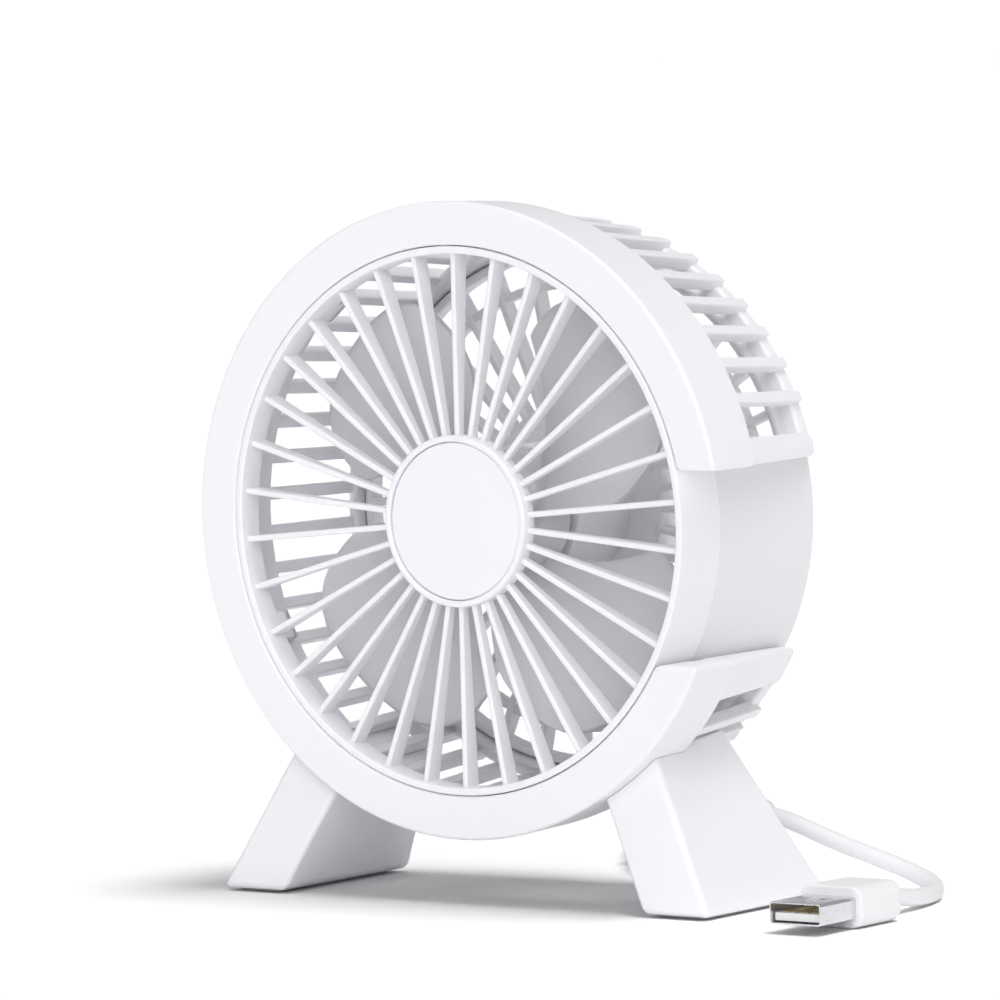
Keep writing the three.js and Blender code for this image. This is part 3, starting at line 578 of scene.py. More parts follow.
def edge_polish() -> bpy.types.NodeTree:
    """Where handling has polished the rounded edges.

    Returns:
        A shader group with a Mask output, 1 on the sharpest edges.
    """
    name = "edge_polish"
    if name in bpy.data.node_groups:
        return bpy.data.node_groups[name]
    tree = bpy.data.node_groups.new(name, "ShaderNodeTree")
    socket_in(tree, "Vector", "NodeSocketVector")
    socket_in(tree, "Start", "NodeSocketFloat", 0.53)
    socket_in(tree, "Breakup Scale", "NodeSocketFloat", 420.0)
    socket_out(tree, "Mask", "NodeSocketFloat")
    into = node(tree, "NodeGroupInput")
    out = node(tree, "NodeGroupOutput")
    shape = node(tree, "ShaderNodeNewGeometry")
    breakup = node(tree, "ShaderNodeTexNoise")
    tree.links.new(into.outputs["Vector"], breakup.inputs["Vector"])
    tree.links.new(into.outputs["Breakup Scale"], breakup.inputs["Scale"])
    ramp = node(tree, "ShaderNodeMapRange", clamp=True)
    tree.links.new(shape.outputs["Pointiness"], ramp.inputs["Value"])
    tree.links.new(into.outputs["Start"], ramp.inputs["From Min"])
    ramp.inputs["From Max"].default_value = 0.62
    broken = math_node(tree, "MULTIPLY", ramp.outputs["Result"], breakup.outputs["Fac"])
    tree.links.new(broken, out.inputs["Mask"])
    return tree


def settled_dust() -> bpy.types.NodeTree:
    """A trace of dust on what faces up.

    Returns:
        A shader group with a Mask output.
    """
    name = "settled_dust"
    if name in bpy.data.node_groups:
        return bpy.data.node_groups[name]
    tree = bpy.data.node_groups.new(name, "ShaderNodeTree")
    socket_in(tree, "Vector", "NodeSocketVector")
    socket_in(tree, "Speck Scale", "NodeSocketFloat", 900.0)
    socket_in(tree, "Amount", "NodeSocketFloat", 0.3)
    socket_out(tree, "Mask", "NodeSocketFloat")
    into = node(tree, "NodeGroupInput")
    out = node(tree, "NodeGroupOutput")
    shape = node(tree, "ShaderNodeNewGeometry")
    part = node(tree, "ShaderNodeSeparateXYZ")
    tree.links.new(shape.outputs["Normal"], part.inputs["Vector"])
    speck = node(tree, "ShaderNodeTexNoise")
    speck.inputs["Detail"].default_value = 6
    tree.links.new(into.outputs["Vector"], speck.inputs["Vector"])
    tree.links.new(into.outputs["Speck Scale"], speck.inputs["Scale"])
    lying = node(tree, "ShaderNodeMapRange", clamp=True)
    tree.links.new(part.outputs["Z"], lying.inputs["Value"])
    lying.inputs["From Min"].default_value = 0.35
    spots = node(tree, "ShaderNodeMapRange", clamp=True)
    tree.links.new(speck.outputs["Fac"], spots.inputs["Value"])
    spots.inputs["From Min"].default_value = 0.52
    spots.inputs["From Max"].default_value = 0.72
    both = math_node(tree, "MULTIPLY", lying.outputs["Result"], spots.outputs["Result"])
    tree.links.new(math_node(tree, "MULTIPLY", both, into.outputs["Amount"]), out.inputs["Mask"])
    return tree


def drawn_streaks() -> bpy.types.NodeTree:
    """Fine parallel streaks left by drawing, turning or brushing metal.

    Returns:
        A shader group with a Streak output.
    """
    name = "drawn_streaks"
    if name in bpy.data.node_groups:
        return bpy.data.node_groups[name]
    tree = bpy.data.node_groups.new(name, "ShaderNodeTree")
    socket_in(tree, "Vector", "NodeSocketVector")
    socket_in(tree, "Along", "NodeSocketVector", (1500.0, 90.0, 1500.0))
    socket_out(tree, "Streak", "NodeSocketFloat")
    into = node(tree, "NodeGroupInput")
    out = node(tree, "NodeGroupOutput")
    stretch = node(tree, "ShaderNodeVectorMath", operation="MULTIPLY")
    tree.links.new(into.outputs["Vector"], stretch.inputs[0])
    tree.links.new(into.outputs["Along"], stretch.inputs[1])
    streak = node(tree, "ShaderNodeTexNoise")
    streak.inputs["Scale"].default_value = 1.0
    streak.inputs["Detail"].default_value = 4
    tree.links.new(stretch.outputs["Vector"], streak.inputs["Vector"])
    tree.links.new(streak.outputs["Fac"], out.inputs["Streak"])
    return tree


# ---------------------------------------------------------------- finishes

Colour = tuple[float, float, float]


def between(
    tree: bpy.types.NodeTree, mask: bpy.types.NodeSocket, low: float, high: float
) -> bpy.types.NodeSocket:
    """A number that runs from low to high as a mask goes from 0 to 1."""
    ramp = node(tree, "ShaderNodeMapRange", clamp=True)
    tree.links.new(mask, ramp.inputs["Value"])
    ramp.inputs["To Min"].default_value = low
    ramp.inputs["To Max"].default_value = high
    return ramp.outputs["Result"]


def blended(
    tree: bpy.types.NodeTree, mask: bpy.types.NodeSocket, first: object, second: object
) -> bpy.types.NodeSocket:
    """A colour that runs from the first to the second as a mask goes from 0 to 1."""
    mix = node(tree, "ShaderNodeMix", data_type="RGBA")
    tree.links.new(mask, mix.inputs["Factor"])
    for name, value in (("A", first), ("B", second)):
        place = next(s for s in mix.inputs if s.name == name and s.type == "RGBA")
        if isinstance(value, bpy.types.NodeSocket):
            tree.links.new(value, place)
        else:
            place.default_value = (*value, 1)
    return next(s for s in mix.outputs if s.type == "RGBA")


def placed_group(
    tree: bpy.types.NodeTree, group: bpy.types.NodeTree, **values: object
) -> bpy.types.Node:
    """Places a shared effect in a material with its own values."""
    made = node(tree, "ShaderNodeGroup", node_tree=group)
    for name, value in values.items():
        made.inputs[name.replace("_", " ")].default_value = value
    where = next((n for n in tree.nodes if n.type == "TEX_COORD"), None)
    tree.links.new(where.outputs["Object"], made.inputs["Vector"])
    return made


def bare_material(name: str) -> tuple[bpy.types.Material, bpy.types.NodeTree, bpy.types.Node]:
    """A new material with its Principled shader and a coordinate node."""
    made = bpy.data.materials.new(name)
    made.use_nodes = True
    tree = made.node_tree
    shader = next(n for n in tree.nodes if n.type == "BSDF_PRINCIPLED")
    node(tree, "ShaderNodeTexCoord")
    return made, tree, shader


def bumped(
    tree: bpy.types.NodeTree, shader: bpy.types.Node, height: bpy.types.NodeSocket, depth: float
) -> None:
    """Feeds a height, in units of this depth in millimetres, to the shader's normal."""
    bump = node(tree, "ShaderNodeBump")
    bump.inputs["Distance"].default_value = depth * MM
    bump.inputs["Strength"].default_value = 1.0
    tree.links.new(height, bump.inputs["Height"])
    tree.links.new(bump.outputs["Normal"], shader.inputs["Normal"])


@dataclass(frozen=True)
class MouldedFinish:
    """A plastic or rubber moulding."""

    name: str
    colour: Colour
    shade: Colour
    gloss: float
    matt: float
    grain_scale: float = 2600.0
    grain_depth: float = 0.004
    flow_scale: float = 24.0
    dust: float = 0.25
    dust_colour: Colour = (0.74, 0.73, 0.71)
    sheen: float = 0.0

    def material(self) -> bpy.types.Material:
        """Builds the material once.

        Returns:
            The material.
        """
        if self.name in bpy.data.materials:
            return bpy.data.materials[self.name]
        made, tree, shader = bare_material(self.name)
        grain = placed_group(
            tree, moulded_grain(), Grain_Scale=self.grain_scale, Flow_Scale=self.flow_scale
        )
        dust = placed_group(tree, settled_dust(), Amount=self.dust)
        polish = placed_group(tree, edge_polish())
        body = blended(tree, grain.outputs["Mottle"], self.shade, self.colour)
        lit = blended(tree, dust.outputs["Mask"], body, self.dust_colour)
        tree.links.new(lit, shader.inputs["Base Color"])
        rough = between(tree, grain.outputs["Gloss"], self.gloss, self.matt)
        worn = math_node(tree, "MULTIPLY", polish.outputs["Mask"], 0.1)
        tree.links.new(math_node(tree, "SUBTRACT", rough, worn), shader.inputs["Roughness"])
        shader.inputs["Sheen Weight"].default_value = self.sheen
        bumped(tree, shader, grain.outputs["Height"], self.grain_depth)
        return made


@dataclass(frozen=True)
class MetalFinish:
    """A bare or plated metal."""

    name: str
    colour: Colour
    dark: Colour
    gloss: float
    matt: float
    along: tuple[float, float, float] = (1500.0, 90.0, 1500.0)
    streak_depth: float = 0.002

    def material(self) -> bpy.types.Material:
        """Builds the material once.

        Returns:
            The material.
        """
        if self.name in bpy.data.materials:
            return bpy.data.materials[self.name]
        made, tree, shader = bare_material(self.name)
        streaks = placed_group(tree, drawn_streaks(), Along=self.along)
        grain = placed_group(tree, moulded_grain(), Grain_Scale=1400.0, Flow_Scale=90.0)
        polish = placed_group(tree, edge_polish(), Start=0.52)
        body = blended(tree, grain.outputs["Mottle"], self.dark, self.colour)
        bright = blended(tree, polish.outputs["Mask"], body, self.colour)
        tree.links.new(bright, shader.inputs["Base Color"])
        rough = between(tree, streaks.outputs["Streak"], self.gloss, self.matt)
        tree.links.new(rough, shader.inputs["Roughness"])
        shader.inputs["Metallic"].default_value = 1.0
        bumped(tree, shader, streaks.outputs["Streak"], self.streak_depth)
        return made


# A copy of the white moulding for the side panel. Its colour is made darker as painted shade of
# that side, and its roughness is a little lower.
PANEL_PAINTED_SHADE = MouldedFinish(
    "satin_panel", (0.835, 0.832, 0.862), (0.815, 0.812, 0.845), 0.4, 0.52
)
FINISHES: dict[Slot, MouldedFinish | MetalFinish] = {
    Slot.WHITE: MouldedFinish(
        "white_moulding", (0.905, 0.902, 0.935), (0.885, 0.882, 0.917), 0.44, 0.56
    ),
    Slot.BLADE: MouldedFinish("blade_moulding", (0.68, 0.68, 0.705), (0.65, 0.65, 0.68), 0.3, 0.42),
    Slot.BUTTON: MouldedFinish(
        "button_moulding", (0.8, 0.8, 0.825), (0.77, 0.77, 0.8), 0.5, 0.62, 1700.0, 0.012
    ),
    Slot.PAD: MouldedFinish(
        "pad_rubber", (0.62, 0.62, 0.63), (0.55, 0.55, 0.56), 0.75, 0.9, 1500.0, 0.02
    ),
    Slot.JACKET: MouldedFinish(
        "cable_jacket", (0.66, 0.66, 0.685), (0.63, 0.63, 0.655), 0.44, 0.58, 2200.0, 0.006, 60.0
    ),
    Slot.PLUG: MouldedFinish(
        "plug_moulding", (0.88, 0.875, 0.91), (0.85, 0.85, 0.885), 0.4, 0.52, 2400.0, 0.005, 70.0
    ),
    Slot.INSULATOR: MouldedFinish(
        "insulator", (0.88, 0.88, 0.89), (0.84, 0.84, 0.86), 0.35, 0.5, 2400.0, 0.003, 90.0
    ),
    Slot.MAGNET: MouldedFinish(
        "ferrite", (0.055, 0.055, 0.06), (0.035, 0.035, 0.04), 0.55, 0.75, 3000.0, 0.012, 120.0, 0.1
    ),
    Slot.SWITCH: MouldedFinish(
        "switch_moulding", (0.04, 0.04, 0.043), (0.03, 0.03, 0.033), 0.45, 0.6, 3000.0, 0.006
    ),
    Slot.BOARD: MouldedFinish(
        "board_lacquer", (0.05, 0.2, 0.09), (0.035, 0.15, 0.07), 0.25, 0.4, 2600.0, 0.006, 160.0
    ),
    Slot.PLUG_STEEL: MetalFinish("plug_plating", (0.8, 0.8, 0.82), (0.66, 0.66, 0.69), 0.18, 0.34),
    Slot.STEEL: MetalFinish("plated_steel", (0.72, 0.72, 0.74), (0.58, 0.58, 0.6), 0.22, 0.4),
    Slot.CORE: MetalFinish(
        "laminated_core",
        (0.36, 0.36, 0.38),
        (0.24, 0.24, 0.26),
        0.4,
        0.6,
        (160.0, 3200.0, 160.0),
        0.02,
    ),
    Slot.BRASS: MetalFinish("turned_brass", (0.83, 0.62, 0.28), (0.7, 0.5, 0.2), 0.2, 0.38),
    Slot.COPPER: MetalFinish("worn_copper", (0.8, 0.42, 0.27), (0.62, 0.3, 0.18), 0.28, 0.5),
}


# ---------------------------------------------------------------- repeated pieces


def radial_bars_tree() -> bpy.types.NodeTree:
    """Bars set round the fan's axis at equal steps.

    Returns:
        A geometry tree with named inputs for the bar's size, place, tilt, count and steps.
    """
    name = "radial_bars"
    if name in bpy.data.node_groups:
        return bpy.data.node_groups[name]
    tree = bpy.data.node_groups.new(name, "GeometryNodeTree")
    socket_out(tree, "Geometry", "NodeSocketGeometry")
    socket_in(tree, "Bar Size", "NodeSocketVector")
    socket_in(tree, "Bar Centre", "NodeSocketVector")
    socket_in(tree, "Tilt", "NodeSocketFloat", 0.0)
    socket_in(tree, "Count", "NodeSocketInt", 1)
    socket_in(tree, "First Angle", "NodeSocketFloat", 0.0)
    socket_in(tree, "Step", "NodeSocketFloat", 0.0)
    socket_in(tree, "Place", "NodeSocketVector")
    socket_in(tree, "Material", "NodeSocketMaterial")
    into = node(tree, "NodeGroupInput")
    out = node(tree, "NodeGroupOutput")
    bar = node(tree, "GeometryNodeMeshCube")
    tree.links.new(into.outputs["Bar Size"], bar.inputs["Size"])
    lean = node(tree, "ShaderNodeCombineXYZ")
    tree.links.new(into.outputs["Tilt"], lean.inputs["Z"])
    put = node(tree, "GeometryNodeTransform")
    tree.links.new(bar.outputs["Mesh"], put.inputs["Geometry"])
    tree.links.new(into.outputs["Bar Centre"], put.inputs["Translation"])
    tree.links.new(lean.outputs["Vector"], put.inputs["Rotation"])
    line = node(tree, "GeometryNodeMeshLine")
    line.inputs["Offset"].default_value = (0, 0, 0)
    tree.links.new(into.outputs["Count"], line.inputs["Count"])
    index = node(tree, "GeometryNodeInputIndex")
    turned = math_node(tree, "MULTIPLY", index.outputs["Index"], into.outputs["Step"])
    angle = math_node(tree, "ADD", turned, into.outputs["First Angle"])
    round_axis = node(tree, "ShaderNodeCombineXYZ")
    tree.links.new(math_node(tree, "MULTIPLY", angle, -1.0), round_axis.inputs["Y"])
    copies = node(tree, "GeometryNodeInstanceOnPoints")
    tree.links.new(line.outputs["Mesh"], copies.inputs["Points"])
    tree.links.new(put.outputs["Geometry"], copies.inputs["Instance"])
    tree.links.new(round_axis.outputs["Vector"], copies.inputs["Rotation"])
    place = node(tree, "GeometryNodeTransform")
    tree.links.new(copies.outputs["Instances"], place.inputs["Geometry"])
    tree.links.new(into.outputs["Place"], place.inputs["Translation"])
    real = node(tree, "GeometryNodeRealizeInstances")
    tree.links.new(place.outputs["Geometry"], real.inputs["Geometry"])
    dress = node(tree, "GeometryNodeSetMaterial")
    tree.links.new(real.outputs["Geometry"], dress.inputs["Geometry"])
    tree.links.new(into.outputs["Material"], dress.inputs["Material"])
    tree.links.new(dress.outputs["Geometry"], out.inputs["Geometry"])
    return tree


def grown(name: str, tree: bpy.types.NodeTree, values: dict[str, object]) -> bpy.types.Object:
    """An object whose geometry a node tree makes.

    Args:
        name: The object's name.
        tree: The geometry tree.
        values: The value of each named input.

    Returns:
        The object, its modifier still live.
    """
    made = new_object(name, bpy.data.meshes.new(name))
    modifier = made.modifiers.new("rule", "NODES")
    modifier.node_group = tree
    for item in tree.interface.items_tree:
        if item.in_out == "INPUT" and item.name in values:
            modifier[item.identifier] = values[item.name]
    return made


@dataclass
class RadialBars:
    """A set of equal bars round the axis: spokes, ribs or slats."""

    name: str
    radial: tuple[float, float]  # inner and outer end, in millimetres
    depth: tuple[float, float]
    width: float
    count: int
    first: float = 0.0  # degrees
    step: float = 0.0
    tilt: float = 0.0
    rounding: float = 0.3

    def build(self, slot: Slot) -> bpy.types.Object:
        """Makes the bars as one plain mesh with rounded edges.

        Args:
            slot: The material slot that they take their finish from.

        Returns:
            The piece, not yet attached.
        """
        size = (self.radial[1] - self.radial[0], self.depth[1] - self.depth[0], self.width)
        centre = (sum(self.radial) / 2, sum(self.depth) / 2, 0)
        values = {
            "Bar Size": [MM * s for s in size],
            "Bar Centre": [MM * c for c in centre],
            "Tilt": math.radians(self.tilt),
            "Count": self.count,
            "First Angle": math.radians(self.first),
            "Step": math.radians(self.step),
            "Place": list(ORIGIN),
            "Material": FINISHES[slot].material(),
        }
        return bevelled(grown(self.name, radial_bars_tree(), values), self.rounding)


def ring_of_copies_tree() -> bpy.types.NodeTree:
    """Copies of one piece set round the fan's axis at equal steps.

    Returns:
        A geometry tree with named inputs for the piece, the count and the steps.
    """
    name = "ring_of_copies"
    if name in bpy.data.node_groups:
        return bpy.data.node_groups[name]
    tree = bpy.data.node_groups.new(name, "GeometryNodeTree")
    socket_out(tree, "Geometry", "NodeSocketGeometry")
    socket_in(tree, "Piece", "NodeSocketObject")
    socket_in(tree, "Count", "NodeSocketInt", 1)
    socket_in(tree, "First Angle", "NodeSocketFloat", 0.0)
    socket_in(tree, "Step", "NodeSocketFloat", 0.0)
    socket_in(tree, "Place", "NodeSocketVector")
    socket_in(tree, "Material", "NodeSocketMaterial")
    into = node(tree, "NodeGroupInput")
    out = node(tree, "NodeGroupOutput")
    piece = node(tree, "GeometryNodeObjectInfo")
    tree.links.new(into.outputs["Piece"], piece.inputs["Object"])
    line = node(tree, "GeometryNodeMeshLine")
    line.inputs["Offset"].default_value = (0, 0, 0)
    tree.links.new(into.outputs["Count"], line.inputs["Count"])
    index = node(tree, "GeometryNodeInputIndex")
    turned = math_node(tree, "MULTIPLY", index.outputs["Index"], into.outputs["Step"])
    angle = math_node(tree, "ADD", turned, into.outputs["First Angle"])
    round_axis = node(tree, "ShaderNodeCombineXYZ")
    tree.links.new(math_node(tree, "MULTIPLY", angle, -1.0), round_axis.inputs["Y"])
    copies = node(tree, "GeometryNodeInstanceOnPoints")
    tree.links.new(line.outputs["Mesh"], copies.inputs["Points"])
    tree.links.new(piece.outputs["Geometry"], copies.inputs["Instance"])
    tree.links.new(round_axis.outputs["Vector"], copies.inputs["Rotation"])
    place = node(tree, "GeometryNodeTransform")
    tree.links.new(copies.outputs["Instances"], place.inputs["Geometry"])
    tree.links.new(into.outputs["Place"], place.inputs["Translation"])
    real = node(tree, "GeometryNodeRealizeInstances")
    tree.links.new(place.outputs["Geometry"], real.inputs["Geometry"])
    dress = node(tree, "GeometryNodeSetMaterial")
    tree.links.new(real.outputs["Geometry"], dress.inputs["Geometry"])
    tree.links.new(into.outputs["Material"], dress.inputs["Material"])
    tree.links.new(dress.outputs["Geometry"], out.inputs["Geometry"])
    return tree


def ring_of(
    name: str, unit: Shell, count: int, first: float, step: float, slot: Slot
) -> bpy.types.Object:
    """Repeats one drawn shape round the axis as a single plain mesh.

    Args:
        name: The piece's name.
        unit: The shape, drawn round the axis at angle 0, in millimetres.
        count: Number of copies.
        first: Angle of the first copy in degrees.
        step: Angle between copies.
        slot: The material slot for its finish.

    Returns:
        The piece, not yet attached.
    """
    pattern = new_object(f"{name}_pattern", unit.mesh(f"{name}_pattern", ROW_MM))
    return repeated(name, pattern, count, first, step, slot)


def repeated(
    name: str, pattern: bpy.types.Object, count: int, first: float, step: float, slot: Slot
) -> bpy.types.Object:
    """Repeats a piece round the axis as a single plain mesh, and removes the piece.

    Args:
        name: The new piece's name.
        pattern: The piece, drawn round the axis at angle 0.
        count: Number of copies.
        first: Angle of the first copy in degrees.
        step: Angle between copies.
        slot: The material slot for its finish.

    Returns:
        The new piece, not yet attached.
    """
    values = {
        "Piece": pattern,
        "Count": count,
        "First Angle": math.radians(first),
        "Step": math.radians(step),
        "Place": list(ORIGIN),
        "Material": FINISHES[slot].material(),
    }
    made = settled(grown(name, ring_of_copies_tree(), values))
    bpy.data.objects.remove(pattern)
    return made


# ---------------------------------------------------------------- shared shapes


def in_depth(across: float, up: float, depth: float) -> Vector:
    """A point of an outline drawn in X and Z and drawn out along Y."""
    return Vector((across, depth, up))


def upright(across: float, along: float, up: float) -> Vector:
    """A point of an outline drawn in X and Y and drawn out along Z."""
    return Vector((across, along, up))


def prism(
    shell: Shell,
    corners: Corners,
    start: float,
    end: float,
    put: Callable[[float, float, float], Vector],
    lead: float = 0.0,
    tail: float = 0.0,
    steps: int = 4,
) -> Shell:
    """Adds an outline drawn out between two places, with its end edges rounded.

    Args:
        shell: The shell to add to.
        corners: The section's corners.
        start: Place of the first end.
        end: Place of the last end, beyond the first.
        put: Turns the outline's two coordinates and the place into a point.
        lead: Rounding of the first end's edge.
        tail: Rounding of the last end's edge.
        steps: Number of steps in each rounding.

    Returns:
        The shell itself.
    """
    stations: list[tuple[float, float]] = []
    turns = [math.pi / 2 * k / steps for k in range(steps + 1)]
    if lead:
        stations += [(start + lead * (1 - math.cos(t)), lead * (1 - math.sin(t))) for t in turns]
    else:
        stations.append((start, 0.0))
    if tail:
        stations += [
            (end - tail * (1 - math.cos(t)), tail * (1 - math.sin(t))) for t in reversed(turns)
        ]
    else:
        stations.append((end, 0.0))
    return shell.loft([[put(u, v, w) for u, v in section(corners, s)] for w, s in stations])


def turned_about(shell: Shell, profile: Profile, frame_of: Matrix, segments: int = 48) -> Shell:
    """Adds a solid turned about the Y axis of its own frame, its profile from axis to axis."""
    rows = [
        [frame_of @ polar(r, y, 360 * i / segments) for r, y in profile] for i in range(segments)
    ]
    return shell.loft(rows, looped=True, open_rows=True)


def outwards(degrees: float, depth: float) -> Matrix:
    """The frame whose Y axis points away from the fan's axis at an angle and a depth."""
    along = polar(1, 0, degrees)
    turn = along.to_track_quat("Y", "Z").to_matrix().to_4x4()
    return Matrix.Translation((0, depth, 0)) @ turn


def beside_axis(radius: float, degrees: float) -> Matrix:
    """The frame that lies beside the fan's axis at a radius and an angle."""
    return Matrix.Translation(polar(radius, 0, degrees))


def rod(radius: float, start: float, end: float, rounding: float = 0.0) -> Profile:
    """The profile of a solid rod, from axis to axis."""
    edge = filleted(
        [(0, start, 0), (radius, start, rounding), (radius, end, rounding), (0, end, 0)], 3
    )
    return edge


def bar_at(
    shell: Shell,
    radial: tuple[float, float],
    depth: tuple[float, float],
    width: float,
    degrees: float,
    rounding: float = 0.3,
) -> Shell:
    """Adds one rounded bar that lies across the axis at an angle."""
    turn = Matrix.Rotation(-math.radians(degrees), 4, "Y")
    corners = box_corners(radial[0], radial[1], depth[0], depth[1], rounding)
    half = width / 2

    def put(across: float, deep: float, along: float) -> Vector:
        """Turns the bar's own coordinates to its angle."""
        return turn @ Vector((across, deep, along))

    return prism(shell, corners, -half, half, put, rounding, rounding, 2)


AngleAt = Callable[[float], float]


def level_ends(top: float, bottom: float) -> tuple[AngleAt, AngleAt]:
    """The two ends of a C that opens to the right, cut off level at two heights.

    Args:
        top: Height of the upper end from the axis.
        bottom: Height of the lower end.

    Returns:
        The angle of the upper end and that of the lower end, as functions of the radius.
    """
    return (
        lambda radius: math.degrees(math.asin(top / radius)),
        lambda radius: 360 + math.degrees(math.asin(bottom / radius)),
    )


def stepped_ring(
    shell: Shell,
    radial: tuple[float, float],
    depth_at: Callable[[bool], tuple[float, float]],
    inside: tuple[float, float],
    rounding: float,
    step: float = 2.5,
) -> Shell:
    """Adds a ring whose depth differs between two angles.

    Args:
        shell: The shell to add to.
        radial: Inner and outer radius.
        depth_at: Front and rear depth outside or inside the two angles.
        inside: The two angles in degrees.
        rounding: Rounding of the edges.
        step: Angle between sections.

    Returns:
        The shell itself.
    """
    rows: list[Row] = []
    low, high = inside

    def row(degrees: float, within: bool) -> Row:
        """One section of the ring."""
        front, rear = depth_at(within)
        outline = rectangle(radial[0], radial[1], front, rear, rounding, 3)
        return [polar(r, y, degrees) for r, y in outline]

    count = max(2, round((high - low) / step))
    rows += [row(low + (high - low) * i / count, True) for i in range(count + 1)]
    count = round((360 + low - high) / step)
    rows += [row(high + 0.02 + (359.96 + low - high) * i / count, False) for i in range(count + 1)]
    return shell.loft(rows, looped=True)


# ---------------------------------------------------------------- cord


@dataclass
class Cord:
    """The USB cable: from the fan into a tied hank, and out to the plug beside the right foot."""

    diameter: float = 3.6
    exit_point: tuple[float, float, float] = (17.65, 22.9, 48.55)
    start_point: tuple[float, float, float] = (16.7, 22.9, 50.2)
    from_fan: list[tuple[float, float, float]] = field(
        default_factory=lambda: [
            (18.7, 22.9, 46.6),
            (21.4, 23, 41.9),
            (25, 23.4, 34.6),
            (28.6, 24.1, 26),
            (31.6, 25.3, 17.6),
            (33.9, 27.3, 10),
            (35, 30.6, 4.4),
            (34.6, 34, 2.2),
            (32.8, 37.6, 1.9),
        ]
    )
    to_plug: list[tuple[float, float, float]] = field(
        default_factory=lambda: [
            (17.8, 34.1, 14.1),
            (23.9, 34.2, 14.1),
            (30.1, 35, 14),
            (36.4, 35.8, 13.1),
            (42.5, 35.9, 11.3),
            (49.5, 35.4, 9.1),
            (57.9, 34.3, 7),
            (66.5, 33.3, 4.9),
            (74, 30.8, 3.2),
            (80.5, 25.6, 2.2),
            (85.1, 17.6, 1.9),
            (87.6, 8, 2.3),
            (88.4, -1.5, 3.5),
            (88.5, -8.6, 4.2),
            (88.5, -11.5, 4.2),
        ]
    )
    straight: float = 40.0
    fold_middle: float = 10.8
    lanes: tuple[float, float] = (12.6, 9.0)
    layers: tuple[float, float, float] = (2.9, 6.5, 10.1)
    near_fold: tuple[float, float] = (16.1, 39.0)
    heading: float = 126.2
    droop: float = 1.0
    ramp: float = 16.0
    stagger: float = 4.0
    climb: list[tuple[float, float, float]] = field(
        default_factory=lambda: [(5.5, 8.4, 11.0), (0.8, 6.7, 12.9)]
    )

    def placed(self, along: float, across: float, height: float) -> Vector:
        """A point of the hank's own frame in the row's frame, in millimetres."""
        turn = math.radians(self.heading)
        ahead = Vector((math.cos(turn), math.sin(turn)))
        left = Vector((-ahead.y, ahead.x))
        flat = Vector(self.near_fold) + ahead * along + left * across
        return Vector((flat.x, flat.y, height))

    def sag(self, along: float) -> float:
        """How far the turns sink towards the floor, away from the tie."""
        return self.droop * smooth_step((abs(along - self.straight / 2) - 8) / 18)

    def slots(self) -> list[tuple[float, float]]:
        """Lane and layer of each turn, in winding order."""
        outer, inner = self.lanes
        low, middle, high = self.layers
        return [
            (outer, low),
            (inner, low),
            (inner, middle),
            (outer, middle),
            (outer, high),
            (inner, high),
        ]

    def turn_point(self, turn: int, way: float) -> Vector:
        """A point of one turn.

        Args:
            turn: The turn's number, from 0.
            way: How far along the turn's middle line, in millimetres.

        Returns:
            The point in the row's frame.
        """
        arc = math.pi * self.fold_middle
        places = self.slots()
        first = places[turn]
        last = places[min(turn + 1, len(places) - 1)]
        begin = self.straight + arc + self.straight - 10
        begin += (len(places) - 1 - turn) * self.stagger
        share = smooth_step((way - begin) / self.ramp)
        lane = first[0] + (last[0] - first[0]) * share
        layer = first[1] + (last[1] - first[1]) * share
        if way < self.straight:
            along, across = way, -lane
        elif way < self.straight + arc:
            angle = math.pi * ((way - self.straight) / arc - 0.5)
            along, across = self.straight + lane * math.cos(angle), lane * math.sin(angle)
        elif way < 2 * self.straight + arc:
            along, across = 2 * self.straight + arc - way, lane
        else:
            angle = math.pi * ((way - 2 * self.straight - arc) / arc + 0.5)
            along, across = lane * math.cos(angle), lane * math.sin(angle)
        return self.placed(along, across, layer - self.sag(along))

    def route(self) -> list[Vector]:
        """The whole centreline's guiding points, in millimetres.

        Returns:
            The points from the gland to the plug.
        """
        whole = 2 * self.straight + 2 * math.pi * self.fold_middle
        points = [Vector(self.start_point), *(Vector(p) for p in self.from_fan)]
        turns = len(self.slots())
        for turn in range(turns):
            last = turn == turns - 1
            length = whole - math.pi * self.fold_middle - 10 if last else whole
            steps = round(length / 4)
            begin = 2 if turn == 0 else 0
            points += [self.turn_point(turn, length * i / steps) for i in range(begin, steps)]
        points += [self.placed(*p) for p in self.climb]
        return points + [Vector(p) for p in self.to_plug]

    def centreline(self) -> list[Vector]:
        """A smooth dense line through the route, in metres."""
        guide = self.route()
        ends = [guide[0] * 2 - guide[1], *guide, guide[-1] * 2 - guide[-2]]
        line: list[Vector] = []
        for a, b, c, d in zip(ends, ends[1:], ends[2:], ends[3:]):
            steps = max(1, round((c - b).length / 1.5))
            for k in range(steps):
                t = k / steps
                line.append(
                    0.5
                    * (
                        2 * b
                        + (c - a) * t
                        + (2 * a - 5 * b + 4 * c - d) * t**2
                        + (3 * b - a - 3 * c + d) * t**3
                    )
                    * MM
                )
        return [*line, guide[-1] * MM]

    def build(self) -> bpy.types.Object:
        """Makes the cord as one curve.

        Returns:
            The cord, riding on the stand.
        """
        line = self.centreline()
        curve = bpy.data.curves.new("usb_cable", "CURVE")
        curve.dimensions = "3D"
        curve.bevel_depth = self.diameter / 2 * MM
        curve.bevel_resolution = 5
        curve.use_fill_caps = True
        spline = curve.splines.new("POLY")
        spline.points.add(len(line) - 1)
        for point, place in zip(spline.points, line):
            point.co = (*place, 1)
        spline.use_smooth = True
        curve.materials.append(FINISHES[Slot.JACKET].material())
        return attach(
            new_object("usb_cable", curve),
            Slot.JACKET,
            replaces=("cable_from_fan", "cable_hank", "cable_to_plug"),
        )

